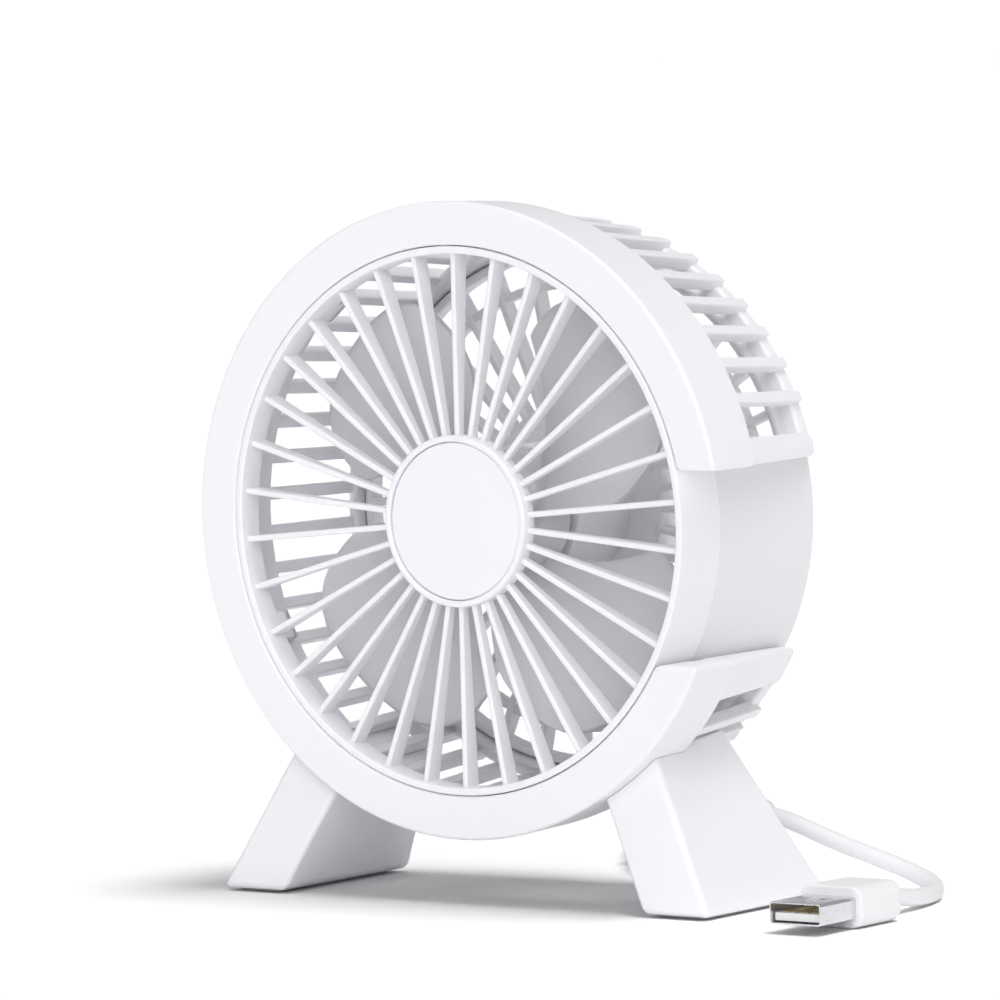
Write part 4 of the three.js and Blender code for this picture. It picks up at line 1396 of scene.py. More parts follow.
    def declare(self) -> None:
        line = self.centreline()
        length = sum((b - a).length for a, b in zip(line, line[1:]))
        LOG.info("cord: %.3f m", length)
        tuple(MM * c for c in self.exit_point)


@dataclass
class HankTie:
    """The strap that holds the spare cable's turns together."""

    start: float = 17.0
    width: float = 6.0
    wall: float = 0.8
    half: float = 15.5
    height: float = 13.0
    corner: float = 3.2

    def build(self, cord: Cord) -> bpy.types.Object:
        """Makes the strap as a closed band round the hank, its edges rounded.

        Args:
            cord: The cord whose hank it goes round.

        Returns:
            The strap.
        """
        outer = rectangle(-self.half, self.half, 0, self.height, self.corner, 6)
        inner = inset(outer, self.wall)
        shell = Shell()
        rows = []
        for (u0, v0), (u1, v1) in zip(outer, inner):
            rows.append(
                [
                    cord.placed(self.start, u0, v0),
                    cord.placed(self.start + self.width, u0, v0),
                    cord.placed(self.start + self.width, u1, v1),
                    cord.placed(self.start, u1, v1),
                ]
            )
        shell.loft(rows, looped=True)
        piece = bevelled(new_object("cable_strap", shell.mesh("cable_strap", ROW_MM)), 0.25, 2)
        return attach(piece, Slot.JACKET, replaces=("cable_tie",))


# ---------------------------------------------------------------- plug


@dataclass
class UsbPlug:
    """A moulded grip, the plated shell with its two windows, the tongue and four contacts."""

    across: float = 88.5
    middle: float = 4.2
    shell_rear: float = -25.0
    shell_size: tuple[float, float, float] = (12.0, 12.4, 4.5)
    wall: float = 0.35
    grip_size: tuple[float, float, float] = (14.6, 16.0, 8.4)
    grip_corner: float = 2.8
    grip_end: float = 2.6
    fit: float = 0.3
    window: tuple[float, float] = (2.5, 2.2)
    window_offset: float = 2.6  # from the plug's axis
    window_back: float = 5.2  # from the shell's rear
    tongue: float = 1.6
    contact_pitch: float = 2.4

    def corners(self, width: float, height: float, corner: float) -> Corners:
        """A rounded section's corners round the plug's axis."""
        x, z = width / 2, height / 2
        return box_corners(
            self.across - x, self.across + x, self.middle - z, self.middle + z, corner
        )

    def grip(self) -> bpy.types.Object:
        """Makes the moulded grip, tapered at the shell and rounded towards the cable."""
        width, length, height = self.grip_size
        corners = self.corners(width, height, self.grip_corner)
        front = self.shell_rear
        rear = front + length
        stations = [(front, 0.55), (front + 0.1, 0.25), (front + 0.35, 0.06), (front + 0.7, 0.0)]
        for k in range(9):
            turn = math.pi / 2 * (1 - k / 8)
            inwards = self.grip_end * (1 - math.sin(turn))
            stations.append((rear - self.grip_end * (1 - math.cos(turn)), inwards))
        rows = [[in_depth(u, v, w) for u, v in section(corners, s, 7)] for w, s in stations]
        shell = Shell().loft(rows)
        piece = new_object("plug_grip", shaded(shell.mesh("plug_grip", ROW_MM), 40))
        return attach(piece, Slot.PLUG, replaces=("plug_body",))

    def shell(self) -> bpy.types.Object:
        """Makes the plated shell, its edges folded round, with two windows in each broad side."""
        width, length, height = self.shell_size
        rear = self.shell_rear - self.fit
        front = rear - length
        corners = self.corners(width, height, 0.7)
        thin = self.wall
        bore = self.corners(width - 2 * thin, height - 2 * thin, 0.45)
        outside = prism(Shell(), corners, front, rear + 0.8, in_depth, 0.14, 0, 2)
        inside = prism(Shell(), bore, front - 1, rear - 1.2, in_depth)
        piece = new_object("plug_shell_folded", outside.mesh("plug_shell_folded", ROW_MM))
        tools = [inside.mesh("inside", ROW_MM)]
        for side in (-1, 1):
            x = self.across + side * self.window_offset
            y = rear - self.window_back
            half_x, half_y = (size / 2 for size in self.window)
            hole = box_corners(x - half_x, x + half_x, y - half_y, y + half_y, 0.12)
            window = prism(Shell(), hole, self.middle - 5, self.middle + 5, upright)
            tools.append(window.mesh("window", ROW_MM))
        carved(piece, *tools)
        return attach(piece, Slot.PLUG_STEEL, replaces=("plug_shell",))

    def inner(self) -> list[bpy.types.Object]:
        """Makes the tongue and its four contacts.

        Returns:
            The two pieces.
        """
        width, length, height = self.shell_size
        half = width / 2 - self.wall - self.fit
        bottom = self.middle - height / 2 + self.wall + self.fit
        top = bottom + self.tongue
        front = self.shell_rear - self.fit - length + 1
        corners = box_corners(self.across - half, self.across + half, bottom, top, 0.2)
        block = prism(Shell(), corners, front, self.shell_rear - self.fit, in_depth, 0.2, 0, 2)
        tongue = new_object("plug_tongue_block", shaded(block.mesh("plug_tongue_block", ROW_MM)))
        strips = Shell()
        for place in range(4):
            x = self.across + (place - 1.5) * self.contact_pitch
            strip = box_corners(x - 0.5, x + 0.5, top + 0.02, top + 0.27, 0.08)
            prism(strips, strip, front + 1.1, self.shell_rear - 1, in_depth, 0.08, 0, 2)
        contacts = new_object("plug_contact_strips", shaded(strips.mesh("plug_contacts", ROW_MM)))
        names = [f"plug_contact_{place + 1}" for place in range(4)]
        return [
            attach(tongue, Slot.INSULATOR, replaces=("plug_tongue",)),
            attach(contacts, Slot.BRASS, replaces=names),
        ]

    def build(self) -> list[bpy.types.Object]:
        """Makes all the plug's pieces."""
        return [self.grip(), self.shell(), *self.inner()]


# ---------------------------------------------------------------- front of the fan

LUG_ANGLES = (50.0, 130.0, 205.0, 275.0)
LUG_CIRCLE = 59.2
LUG_RADIUS = 2.3
LUG_WIDTH = 6.0
GRILLE_LUG = (8.3, 10.1)  # depths
CAGE_LUG = (10.4, 12.2)
GAP_TOP = 11.3
GAP_BOTTOM = -27.6
FIT = 0.3


@dataclass
class Bezel:
    """The C-shaped front bezel: a channel round the grille with two level end walls."""

    radius: float = 65.0
    rear_radius: float = 64.4
    inner: float = 56.0
    depth: float = 16.0
    wall: float = 2.2
    face: float = 2.6
    lip: float = 8.0
    end_wall: float = 1.8
    edge: float = 0.8
    end_edge: float = 1.3

    def build(self) -> bpy.types.Object:
        """Makes the bezel.

        Returns:
            The piece.
        """
        corners = [
            (self.inner, 0, 0.7),
            (self.radius, 0, self.edge),
            (self.rear_radius, self.depth, 0.4),
            (self.inner + 1, self.depth, 0.3),
            (self.inner, self.lip, 0.3),
        ]
        body = Shell().arc(corners, *level_ends(GAP_TOP, GAP_BOTTOM), 150, self.end_edge)
        piece = new_object("bezel", body.mesh("bezel"))
        rise = self.end_wall
        ends = level_ends(GAP_TOP + rise, GAP_BOTTOM - rise)
        cut = [
            (self.inner + 1.6, self.face, 0),
            (self.radius - 0.1 - self.wall, self.face, 0),
            (self.rear_radius - self.wall, self.depth + 1, 0),
            (self.inner - 1, self.depth + 1, 0),
            (self.inner - 1, self.lip, 0),
            (self.inner + 1.6, self.lip, 0),
        ]
        channel = Shell().arc(cut, *ends, 150)
        carved(piece, channel.mesh("channel"))
        return attach(piece, Slot.WHITE, replaces=("front_bezel",))

    def bosses(self) -> bpy.types.Object:
        """Makes the four screw bosses behind the bezel's face."""
        shell = Shell()
        for degrees in LUG_ANGLES:
            profile = rod(LUG_RADIUS, self.face - 0.4, self.lip, 0.2)
            turned_about(shell, profile, beside_axis(LUG_CIRCLE, degrees), 24)
        return moulded("bezel_bosses", shell, Slot.WHITE)


@dataclass
class FrontGrille:
    """The rim with its deep apron on the right, the hub ring, the spokes and the cap."""

    rim: tuple[float, float] = (54.3, 55.82)
    rim_depth: float = 6.2
    apron_depth: float = 14.15
    apron: tuple[float, float] = (-33.97, 15.93)
    hub: tuple[float, float] = (16.2, 17.5)
    hub_rear: float = 3.9
    plate: tuple[float, float] = (2.1, 3.7)
    peg_hole: float = 2.3
    spoke_front: float = 1.6
    spoke_rear: tuple[float, float] = (3.6, 6.0)  # at the hub and at the rim
    spoke_width: float = 1.2
    spoke_edge: float = 0.45
    spokes: int = 34
    first_spoke: float = 90.0
    cap_radius: float = 16.1
    cap_rear: float = 1.7
    peg: tuple[float, float] = (1.9, 5.4)

    def frame(self) -> bpy.types.Object:
        """Makes the rim, the apron, the hub ring, the plate behind the cap and the lugs."""
        shell = Shell()
        stepped_ring(
            shell,
            self.rim,
            lambda within: (0.0, self.apron_depth if within else self.rim_depth),
            self.apron,
            0.4,
        )
        low, high = self.hub
        rear = self.hub_rear
        hub = filleted([(low, 0, 0.4), (high, 0, 0.6), (high, rear, 0.3), (low, rear, 0.3)])
        shell.lathe(hub, 128)
        bore, edge = self.peg_hole, low + 0.6
        front, rear = self.plate
        shell.lathe(
            filleted([(bore, front, 0.1), (edge, front, 0), (edge, rear, 0), (bore, rear, 0.1)])
        )
        for degrees in LUG_ANGLES:
            bar_at(shell, self.rim, (1, GRILLE_LUG[1]), LUG_WIDTH, degrees)
            ear = (self.rim[0], LUG_CIRCLE + LUG_RADIUS)
            bar_at(shell, ear, GRILLE_LUG, LUG_WIDTH, degrees)
        return moulded("grille_frame", shell, Slot.WHITE, "front_grille")

    def spoke(self) -> Shell:
        """One spoke with rounded edges, deeper at the rim than at the hub."""
        half = self.spoke_width / 2
        rows: list[Row] = []
        for radius, rear in zip((self.hub[1] - 0.65, self.rim[0] + 0.65), self.spoke_rear):
            corners = [
                (half, self.spoke_front, self.spoke_edge),
                (half, rear, self.spoke_edge / 2),
                (-half, rear, self.spoke_edge / 2),
                (-half, self.spoke_front, self.spoke_edge),
            ]
            outline = filleted(corners, 4)
            rows.append([Vector((radius, depth, across)) for across, depth in outline])
        return Shell().loft(rows)

    def spoke_set(self) -> bpy.types.Object:
        """Makes the radial spokes."""
        step = 360 / self.spokes
        bars = ring_of(
            "grille_spokes", self.spoke(), self.spokes, self.first_spoke, step, Slot.WHITE
        )
        return attach(bars, Slot.WHITE, replaces=("front_grille",))

    def cap(self) -> bpy.types.Object:
        """Makes the slightly crowned cap and its peg."""
        radius, rear = self.cap_radius, self.cap_rear
        peg, end = self.peg
        crown = [(radius * 0.96 * k / 12, 0.1 + 0.32 * (k / 12) ** 2.4) for k in range(12)]
        profile = [
            *crown,
            *filleted([(radius - 1, 0.42, 0), (radius, 0.45, 0.6), (radius, rear, 0.15)])[1:-1],
            (radius - 0.2, rear),
            (peg, rear),
            (peg, end - 0.2),
            (peg - 0.2, end),
            (0, end),
        ]
        shell = Shell().lathe(profile, 128, solid=True)
        return moulded("hub_cap", shell, Slot.WHITE, "grille_cap")

    def build(self) -> list[bpy.types.Object]:
        """Makes the grille's pieces."""
        return [self.frame(), self.spoke_set(), self.cap()]


# ---------------------------------------------------------------- rear housing


@dataclass
class RearHousing:
    """The slotted cage behind the bezel, with its end blocks and the smooth side panel."""

    rim: tuple[float, float] = (54.3, 55.6)
    rim_rear: float = 48.2
    rim_front: float = 40.0
    panel_front: float = 14.45
    panel: tuple[float, float] = (-33.97, 15.93)
    collar: tuple[float, float] = (59.8, 61.9)
    cage_front: float = 16.3
    cage_rear: float = 45.1
    rib_outer: tuple[float, float] = (62.9, 60.0)
    rib_height: float = 3.0
    rib_width: float = 2.4
    slots: int = 42
    block_ends: tuple[float, float] = (16.0, -36.5)
    flange: float = 58.6
    flange_depth: tuple[float, float] = (42.4, 46.0)
    saddles: tuple[float, float] = (-52.0, -128.0)
    saddle_half: float = 4.5
    saddle_depth: tuple[float, float] = (34.0, 43.4)
    edge: float = 1.7

    def outer_at(self, depth: float) -> float:
        """The radius of the ribs' outer edge at a depth."""
        front, rear = self.rib_outer
        start = Bezel.depth
        return front + (rear - front) * (depth - start) / (self.cage_rear - start)

    def band(self, inner: float, front: float, rear: float, edge: float) -> Corners:
        """The corners of the cage's section from an inner radius out to the ribs' edge."""
        return [
            (inner, front, 0.25),
            (self.outer_at(front), front, 0.25),
            (self.outer_at(rear), rear, edge),
            (inner, rear, edge),
        ]

    def side(self) -> bpy.types.Object:
        """Makes the rear rim and the smooth side panel as one ring."""
        shell = stepped_ring(
            Shell(),
            self.rim,
            lambda within: (self.panel_front if within else self.rim_front, self.rim_rear),
            self.panel,
            0.4,
        )
        # The panel takes the darker copy of the white moulding, its colour painted shade.
        return moulded("side_panel", shell, Slot.WHITE, "rear_housing", finish=PANEL_PAINTED_SHADE)

    def blocks(self) -> bpy.types.Object:
        """Makes the two solid blocks that end the cage beside the gap."""
        corners = self.band(self.rim[1] - 0.4, self.cage_front, self.cage_rear, self.edge)
        shell = Shell()
        far_top, far_bottom = self.block_ends
        top, bottom = level_ends(GAP_TOP, GAP_BOTTOM)
        shell.arc(corners, top, lambda r: far_top, 6, self.edge)
        shell.arc(corners, lambda r: far_bottom, lambda r: bottom(r) - 360, 8, self.edge)
        return moulded("end_blocks", shell, Slot.WHITE, "rear_housing")

    def frame(self) -> bpy.types.Object:
        """Makes the collar, the rear flange, the lugs and the feet's saddles."""
        shell = Shell()
        low, high = self.collar
        inside = level_ends(GAP_TOP + 2.1, GAP_BOTTOM - 2.1)
        shell.arc(box_corners(low, high, CAGE_LUG[0], self.cage_front + 1, 0.3), *inside, 120)
        flange = box_corners(self.rim[1] - 0.5, self.flange, *self.flange_depth, 0.8)
        shell.arc(flange, *level_ends(GAP_TOP + 0.6, GAP_BOTTOM - 0.6), 120, 0.5)
        for degrees in LUG_ANGLES:
            bar_at(shell, (LUG_CIRCLE - LUG_RADIUS, high - 0.5), CAGE_LUG, LUG_WIDTH, degrees)
        saddle = self.band(low - 2.4, *self.saddle_depth, 0.3)
        half = self.saddle_half
        for degrees in self.saddles:
            shell.arc(saddle, lambda r: degrees - half, lambda r: degrees + half, 4, 0.25)
        return moulded("cage_frame", shell, Slot.WHITE, "rear_housing")

    def ribs(self) -> bpy.types.Object:
        """Makes the cage's side ribs."""
        far_top, far_bottom = self.block_ends
        step = (360 + far_bottom - far_top) / self.slots
        middle = (self.cage_front + self.cage_rear) / 2
        centre = self.outer_at(middle) - self.rib_height / 2
        lean = math.degrees(
            math.atan2(self.rib_outer[0] - self.rib_outer[1], self.cage_rear - self.cage_front)
        )
        bars = RadialBars(
            "cage_ribs",
            (centre - self.rib_height / 2, centre + self.rib_height / 2),
            (self.cage_front, self.cage_rear),
            self.rib_width,
            self.slots - 1,
            far_top + step,
            step,
            lean,
            0.5,
        )
        return attach(bars.build(Slot.WHITE), Slot.WHITE, replaces=("rear_housing",))

    def build(self) -> list[bpy.types.Object]:
        """Makes the housing's pieces."""
        return [self.side(), self.blocks(), self.frame(), self.ribs()]


@dataclass
class BackGrille:
    """The ribbed back with the deck and the sleeve that hold the motor."""

    outer: float = 54.0
    depth: tuple[float, float] = (42.4, 46.4)
    deck: float = 22.0
    sleeve: tuple[float, float] = (12.6, 14.2)
    sleeve_front: float = 24.0
    boss_hole: float = 4.2
    wall: float = 1.8
    hoop: float = 47.0
    ribs: int = 32
    rib_width: float = 1.5
    tabs: tuple[float, ...] = (45.0, 135.0, 225.0, 315.0)
    tab_width: float = 8.0

    def frame(self) -> bpy.types.Object:
        """Makes the rings, the deck and the motor's sleeve."""
        front, rear = self.depth
        shell = Shell()
        shell.lathe(rectangle(self.outer - self.wall, self.outer, front, rear, 0.4, 3), 128)
        hoop = rectangle(self.hoop - self.wall, self.hoop, front + 0.6, rear - 0.6, 0.5, 3)
        shell.lathe(hoop, 128)
        bore, wall = self.sleeve
        shell.lathe(
            filleted(
                [
                    (self.boss_hole, self.sleeve_front, 0.2),
                    (wall, self.sleeve_front, 0.6),
                    (wall, front, 0.2),
                    (self.deck, front, 0.5),
                    (self.deck, rear, 0.5),
                    (bore, rear, 0.4),
                    (bore, self.sleeve_front + 1.6, 0),
                    (self.boss_hole, self.sleeve_front + 1.6, 0.2),
                ],
                3,
            ),
            96,
        )
        for degrees in self.tabs:
            tab = (self.outer - 1, self.outer + 1.3)
            bar_at(shell, tab, (front + 1, rear - 1), self.tab_width, degrees, 0.2)
        return moulded("back_frame", shell, Slot.WHITE, "back_grille")

    def rib_set(self) -> bpy.types.Object:
        """Makes the radial ribs of the back."""
        bars = RadialBars(
            "back_ribs",
            (self.deck - 1, self.outer - 0.9),
            self.depth,
            self.rib_width,
            self.ribs,
            0,
            360 / self.ribs,
            rounding=0.4,
        )
        return attach(bars.build(Slot.WHITE), Slot.WHITE, replaces=("back_grille",))

    def build(self) -> list[bpy.types.Object]:
        """Makes the back's pieces."""
        return [self.frame(), self.rib_set()]


# ---------------------------------------------------------------- feet


class Side(Enum):
    """The two sides of the fan."""

    RIGHT = 1
    LEFT = -1


@dataclass
class Foot:
    """One splayed foot with its rubber pad."""

    side: Side
    inner: float = 45.4
    outer: float = 61.4
    front: float = -1.4
    rear: float = 43.0
    splay: float = 0.53
    front_rake: float = 0.21
    rear_rake: float = 0.31
    top: float = 44.0
    lift: float = 0.6
    corner: float = 1.3
    sole: float = 1.6
    seam: float = 0.1  # between the foot's top and what it carries

    @property
    def title(self) -> str:
        """The foot's side in words."""
        return self.side.name.lower()

    def corners(self, height: float) -> Corners:
        """The corners of the foot's section at a height above the surface."""
        x0, x1 = self.inner - self.splay * height, self.outer - self.splay * height
        y0, y1 = self.front + self.front_rake * height, self.rear - self.rear_rake * height
        return box_corners(x0, x1, y0, y1, self.corner)

    def recess(self) -> Shell:
        """The space of the bezel and the cage, which the foot's top stays clear of."""
        cage = RearHousing()
        bezel = Bezel()
        outline = [
            (20.0, -5.0),
            (bezel.radius + self.seam, -5.0),
            (bezel.radius + self.seam, 0.0),
            (bezel.rear_radius + self.seam, bezel.depth + self.seam),
            (cage.outer_at(bezel.depth) + self.seam, bezel.depth + self.seam),
            (cage.rib_outer[1] + self.seam, cage.cage_rear + FIT),
            (cage.rib_outer[1] + self.seam, 70.0),
            (20.0, 70.0),
        ]
        return Shell().lathe(outline, 240)

    def block(self) -> bpy.types.Object:
        """Makes the foot's body."""
        rows: list[Row] = []
        for k in range(5):
            turn = math.pi / 2 * k / 4
            height = self.lift + self.sole * (1 - math.cos(turn))
            outline = section(self.corners(height), self.sole * (1 - math.sin(turn)))
            rows.append([Vector((x, y, FLOOR + height)) for x, y in outline])
        for height in (12.0, 24.0, 36.0, self.top):
            rows.append([Vector((x, y, FLOOR + height)) for x, y in section(self.corners(height))])
        sign = self.side.value
        rows = [[Vector((sign * p.x, p.y, p.z)) for p in row] for row in rows]
        name = f"{self.title}_foot_block"
        piece = new_object(name, Shell().loft(rows).mesh(name))
        x0, x1 = sorted((sign * (self.inner + 2.7), sign * (self.outer - 2.7)))
        pocket = box_corners(x0, x1, self.front + 2.7, self.rear - 2.7, 1.0)
        hole = prism(Shell(), pocket, FLOOR - 1, FLOOR + 1.7, upright)
        carved(piece, self.recess().mesh("recess"), hole.mesh("pocket"))
        return attach(piece, Slot.WHITE, replaces=(f"{self.title}_foot",))

    def pad(self) -> bpy.types.Object:
        """Makes the rubber pad under the foot."""
        sign = self.side.value
        x0, x1 = sorted((sign * (self.inner + 3), sign * (self.outer - 3)))
        corners = box_corners(x0, x1, self.front + 3, self.rear - 3, 0.8)
        shell = prism(Shell(), corners, FLOOR, FLOOR + 1.4, upright, 0.35, 0.1, 3)
        name = f"{self.title}_pad_sole"
        piece = new_object(name, shaded(shell.mesh(name)))
        return attach(piece, Slot.PAD, replaces=(f"{self.title}_foot_pad",))

    def build(self) -> list[bpy.types.Object]:
        """Makes the foot and its pad."""
        return [self.block(), self.pad()]


# ---------------------------------------------------------------- impeller


@dataclass
class Impeller:
    """The hub and its four swept blades, on the motor's shaft."""

    tip: float = 50.0
    hub: float = 13.2
    hub_wall: float = 2.0
    hub_front: float = 10.0
    hub_rear: float = 22.6
    blades: int = 4
    first: float = 30.0
    thickness: float = 1.5
    middle: float = 15.6
    rise: float = 11.0
    rise_loss: float = 0.25  # share of the rise that is lost towards the tip
    chord: float = 78.0  # degrees
    chord_share: tuple[float, float, float] = (0.62, 0.76, -0.5)  # at the root, and its growth
    sweep: float = 16.0  # degrees that the tip leads the root
    corner_cut: float = 0.34  # how far the tip's corners are rounded off
    boss: float = 3.1
    bore: float = 1.3

    def blade_point(self, out: float, along: float, side: float) -> Vector:
        """A point of one blade.

        Args:
            out: From 0 at the root to 1 at the tip.
            along: From -1 at the leading edge to 1 at the trailing one.
            side: From -0.5 at the front face to 0.5 at the back one.

        Returns:
            The point in the fan's frame.
        """
        root = self.hub - self.hub_wall / 2
        radius = root + (self.tip - root) * out * (1 - self.corner_cut * out * along**4)
        base, slope, bend = self.chord_share
        spread = self.chord * (base + slope * out + bend * out**2) * along / 2
        climb = self.rise * (1 - self.rise_loss * out) * along / 2
        angle = spread + self.sweep * out
        return polar(radius, self.middle + climb + side * self.thickness, angle)

    def blade(self) -> Shell:
        """One blade as a closed sheet with rounded edges."""
        rows: list[Row] = []
        steps = 24
        outs = [0.0, *(k / 18 for k in range(1, 18)), 0.97, 0.985, 0.994, 1.0]
        for out in outs:
            tip = math.sqrt(max(0.0, 1 - max(0.0, (out - 0.965) / 0.035) ** 2)) if out else 0.0
            row: Row = []
            for way in (1, -1):
                for k in range(steps + 1):
                    along = -way * math.cos(math.pi * k / steps)
                    edge = math.sqrt(max(0.0, 1 - max(0.0, (abs(along) - 0.97) / 0.03) ** 2))
                    row.append(self.blade_point(out, along, -way * 0.5 * tip * edge))
            rows.append(row)
        return Shell().loft(rows, caps=False)

    def build(self) -> list[bpy.types.Object]:
        """Makes the hub and the blades.

        Returns:
            The two pieces.
        """
        front, rear = self.hub_front, self.hub_rear
        boss, bore = self.boss, self.bore
        profile = filleted(
            [
                (bore, front, 0.2),
                (self.hub - 2.6, front, 2.4),
                (self.hub, front + 2.8, 1.6),
                (self.hub, rear, 0.3),
                (self.hub - self.hub_wall, rear, 0.3),
                (self.hub - self.hub_wall, front + 3, 0.6),
                (boss, front + 3, 0.4),
                (boss, rear - 0.6, 0.2),
                (bore, rear - 0.6, 0.1),
            ],
            5,
        )
        shell = Shell().lathe(profile, 96)
        hub = moulded("impeller_hub", shell, Slot.BLADE, "impeller", body=Body.ROTOR)
        blades = ring_of(
            "impeller_blades", self.blade(), self.blades, self.first, 360 / self.blades, Slot.BLADE
        )
        return [hub, attach(blades, Slot.BLADE, Body.ROTOR, replaces=("impeller",))]


# ---------------------------------------------------------------- rear cover


@dataclass
class RearCover:
    """The round cover on the back with its button, three screws and the cable's gland."""

    radius: float = 21.5
    wall: float = 1.8
    front: float = 46.7
    rear: float = 54.0
    screw_circle: float = 16.2
    screw_ring: tuple[int, float, float] = (3, 90.0, 120.0)  # count, first angle and step
    counterbore: float = 2.3
    boss: float = 2.9
    boss_depth: tuple[float, float] = (46.9, 53.2)
    screw_hole: float = 1.2
    seat: float = 50.0
    button_hole: float = 5.4
    notch: float = 2.6
    gland_angle: float = -60.0
    gland_axis: float = 49.9
    gland_length: float = 12.5
    gland_rings: int = 7

    def shell(self) -> bpy.types.Object:
        """Makes the cover with its counterbores and the gland's notch."""
        profile = filleted(
            [
                (self.button_hole, self.rear - self.wall, 0.2),
                (self.radius - self.wall, self.rear - self.wall, 0.8),
                (self.radius - self.wall, self.front, 0.2),
                (self.radius, self.front, 0.3),
                (self.radius, self.rear, 2.2),
                (self.button_hole + 2.2, self.rear, 0.8),
                (self.button_hole + 1.4, self.rear - 0.5, 0.4),
                (self.button_hole, self.rear - 0.5, 0.25),
            ],
            6,
        )
        piece = new_object("rear_cover", Shell().lathe(profile, 128).mesh("rear_cover"))
        tools = []
        count, first, step = self.screw_ring
        through = rod(self.counterbore, self.front - 1, self.rear + 1)
        for place in range(count):
            frame_of = beside_axis(self.screw_circle, first + place * step)
            tools.append(turned_about(Shell(), through, frame_of).mesh("bore"))
        across = rod(self.notch, self.radius - 4, self.radius + 3)
        notch = turned_about(Shell(), across, outwards(self.gland_angle, self.gland_axis))
        tools.append(notch.mesh("notch"))
        carved(piece, *tools)
        return attach(piece, Slot.WHITE, replaces=("motor_cover",))

    def bosses(self) -> bpy.types.Object:
        """Makes the three screw bosses, hollow down to the screws' seats."""
        front, rear = self.boss_depth
        step = self.seat - FIT
        corners = [
            (self.screw_hole, front, 0.1),
            (self.boss, front, 0.2),
            (self.boss, rear, 0),
            (self.counterbore, rear, 0),
            (self.counterbore, step, 0),
            (self.screw_hole, step, 0),
        ]
        profile = filleted(corners, 3)
        unit = Shell()
        rows = [
            [beside_axis(self.screw_circle, 0) @ polar(r, y, 360 * i / 32) for r, y in profile]
            for i in range(32)
        ]
        unit.loft(rows, looped=True)
        piece = ring_of("cover_bosses", unit, *self.screw_ring, Slot.WHITE)
        return attach(piece, Slot.WHITE, replaces=("motor_cover",))

    def screws(self) -> bpy.types.Object:
        """Makes the three screws with their cross recesses."""
        seat = self.seat
        profile = [
            (0, seat + 1.25),
            (0.8, seat + 1.22),
            (1.45, seat + 0.98),
            (1.9, seat + 0.5),
            (1.9, seat + 0.12),
            (1.8, seat),
            (0.8, seat),
            (0.8, 44.6),
            (0.3, 44.2),
            (0, 44.2),
        ]
        unit = turned_about(Shell(), profile, beside_axis(self.screw_circle, 0), 40)
        pattern = new_object("screw", unit.mesh("screw", ROW_MM))
        cross = []
        for width, length in ((0.42, 2.1), (2.1, 0.42)):
            x = self.screw_circle
            slot_shape = box_corners(x - width / 2, x + width / 2, -length / 2, length / 2, 0.08)
            cross.append(
                prism(Shell(), slot_shape, seat + 0.55, seat + 2, in_depth).mesh("cross", ROW_MM)
            )
        carved(pattern, *cross)
        piece = repeated("cover_cross_screws", pattern, *self.screw_ring, Slot.STEEL)
        return attach(piece, Slot.STEEL, replaces=[f"cover_screw_{i}" for i in (1, 2, 3)])

    def button(self) -> bpy.types.Object:
        """Makes the dished button."""
        profile = [
            (0, 50.9),
            *filleted([(6.2, 50.9, 0.2), (6.2, 51.9, 0.2), (5.0, 51.9, 0.1)], 3)[0:-1],
            *filleted([(5.0, 51.9, 0), (5.0, 55.4, 0.55), (4.0, 55.4, 0.3)], 5)[1:-1],
            (3.6, 55.28),
            (2.4, 55.08),
            (1.2, 54.98),
            (0, 54.95),
        ]
        shell = Shell().lathe(profile, 96, solid=True)
        piece = new_object("push_button", shaded(shell.mesh("push_button"), 50))
        return attach(piece, Slot.BUTTON, Body.BUTTON, replaces=("power_button",))

    def gland(self) -> bpy.types.Object:
        """Makes the ribbed taper where the cable leaves the cover."""
        start = self.radius + FIT
        end = start + self.gland_length
        profile: Profile = [(0, 17.7), (2.2, 17.7), (2.2, start), (3.0, start), (3.1, start + 0.2)]
        profile += [(3.1, start + 1.4), (2.9, start + 1.6)]
        pitch = (self.gland_length - 2.3) / self.gland_rings
        for k in range(self.gland_rings):
            place = start + 1.9 + pitch * k
            radius = 2.7 - 0.5 * k / self.gland_rings
            profile += [
                (radius - 0.35, place),
                (radius, place + 0.15 * pitch),
                (radius, place + 0.6 * pitch),
                (radius - 0.35, place + 0.75 * pitch),
            ]
        profile += [(2.1, end - 0.15), (1.95, end), (0, end)]
        shell = turned_about(Shell(), profile, outwards(self.gland_angle, self.gland_axis), 48)
        piece = new_object("ribbed_gland", shaded(shell.mesh("ribbed_gland"), 50))
        return attach(piece, Slot.JACKET, replaces=("cable_gland",))

    def build(self) -> list[bpy.types.Object]:
        """Makes the cover's pieces."""
        return [self.shell(), self.bosses(), self.screws(), self.button(), self.gland()]


# ---------------------------------------------------------------- carried-over inner parts


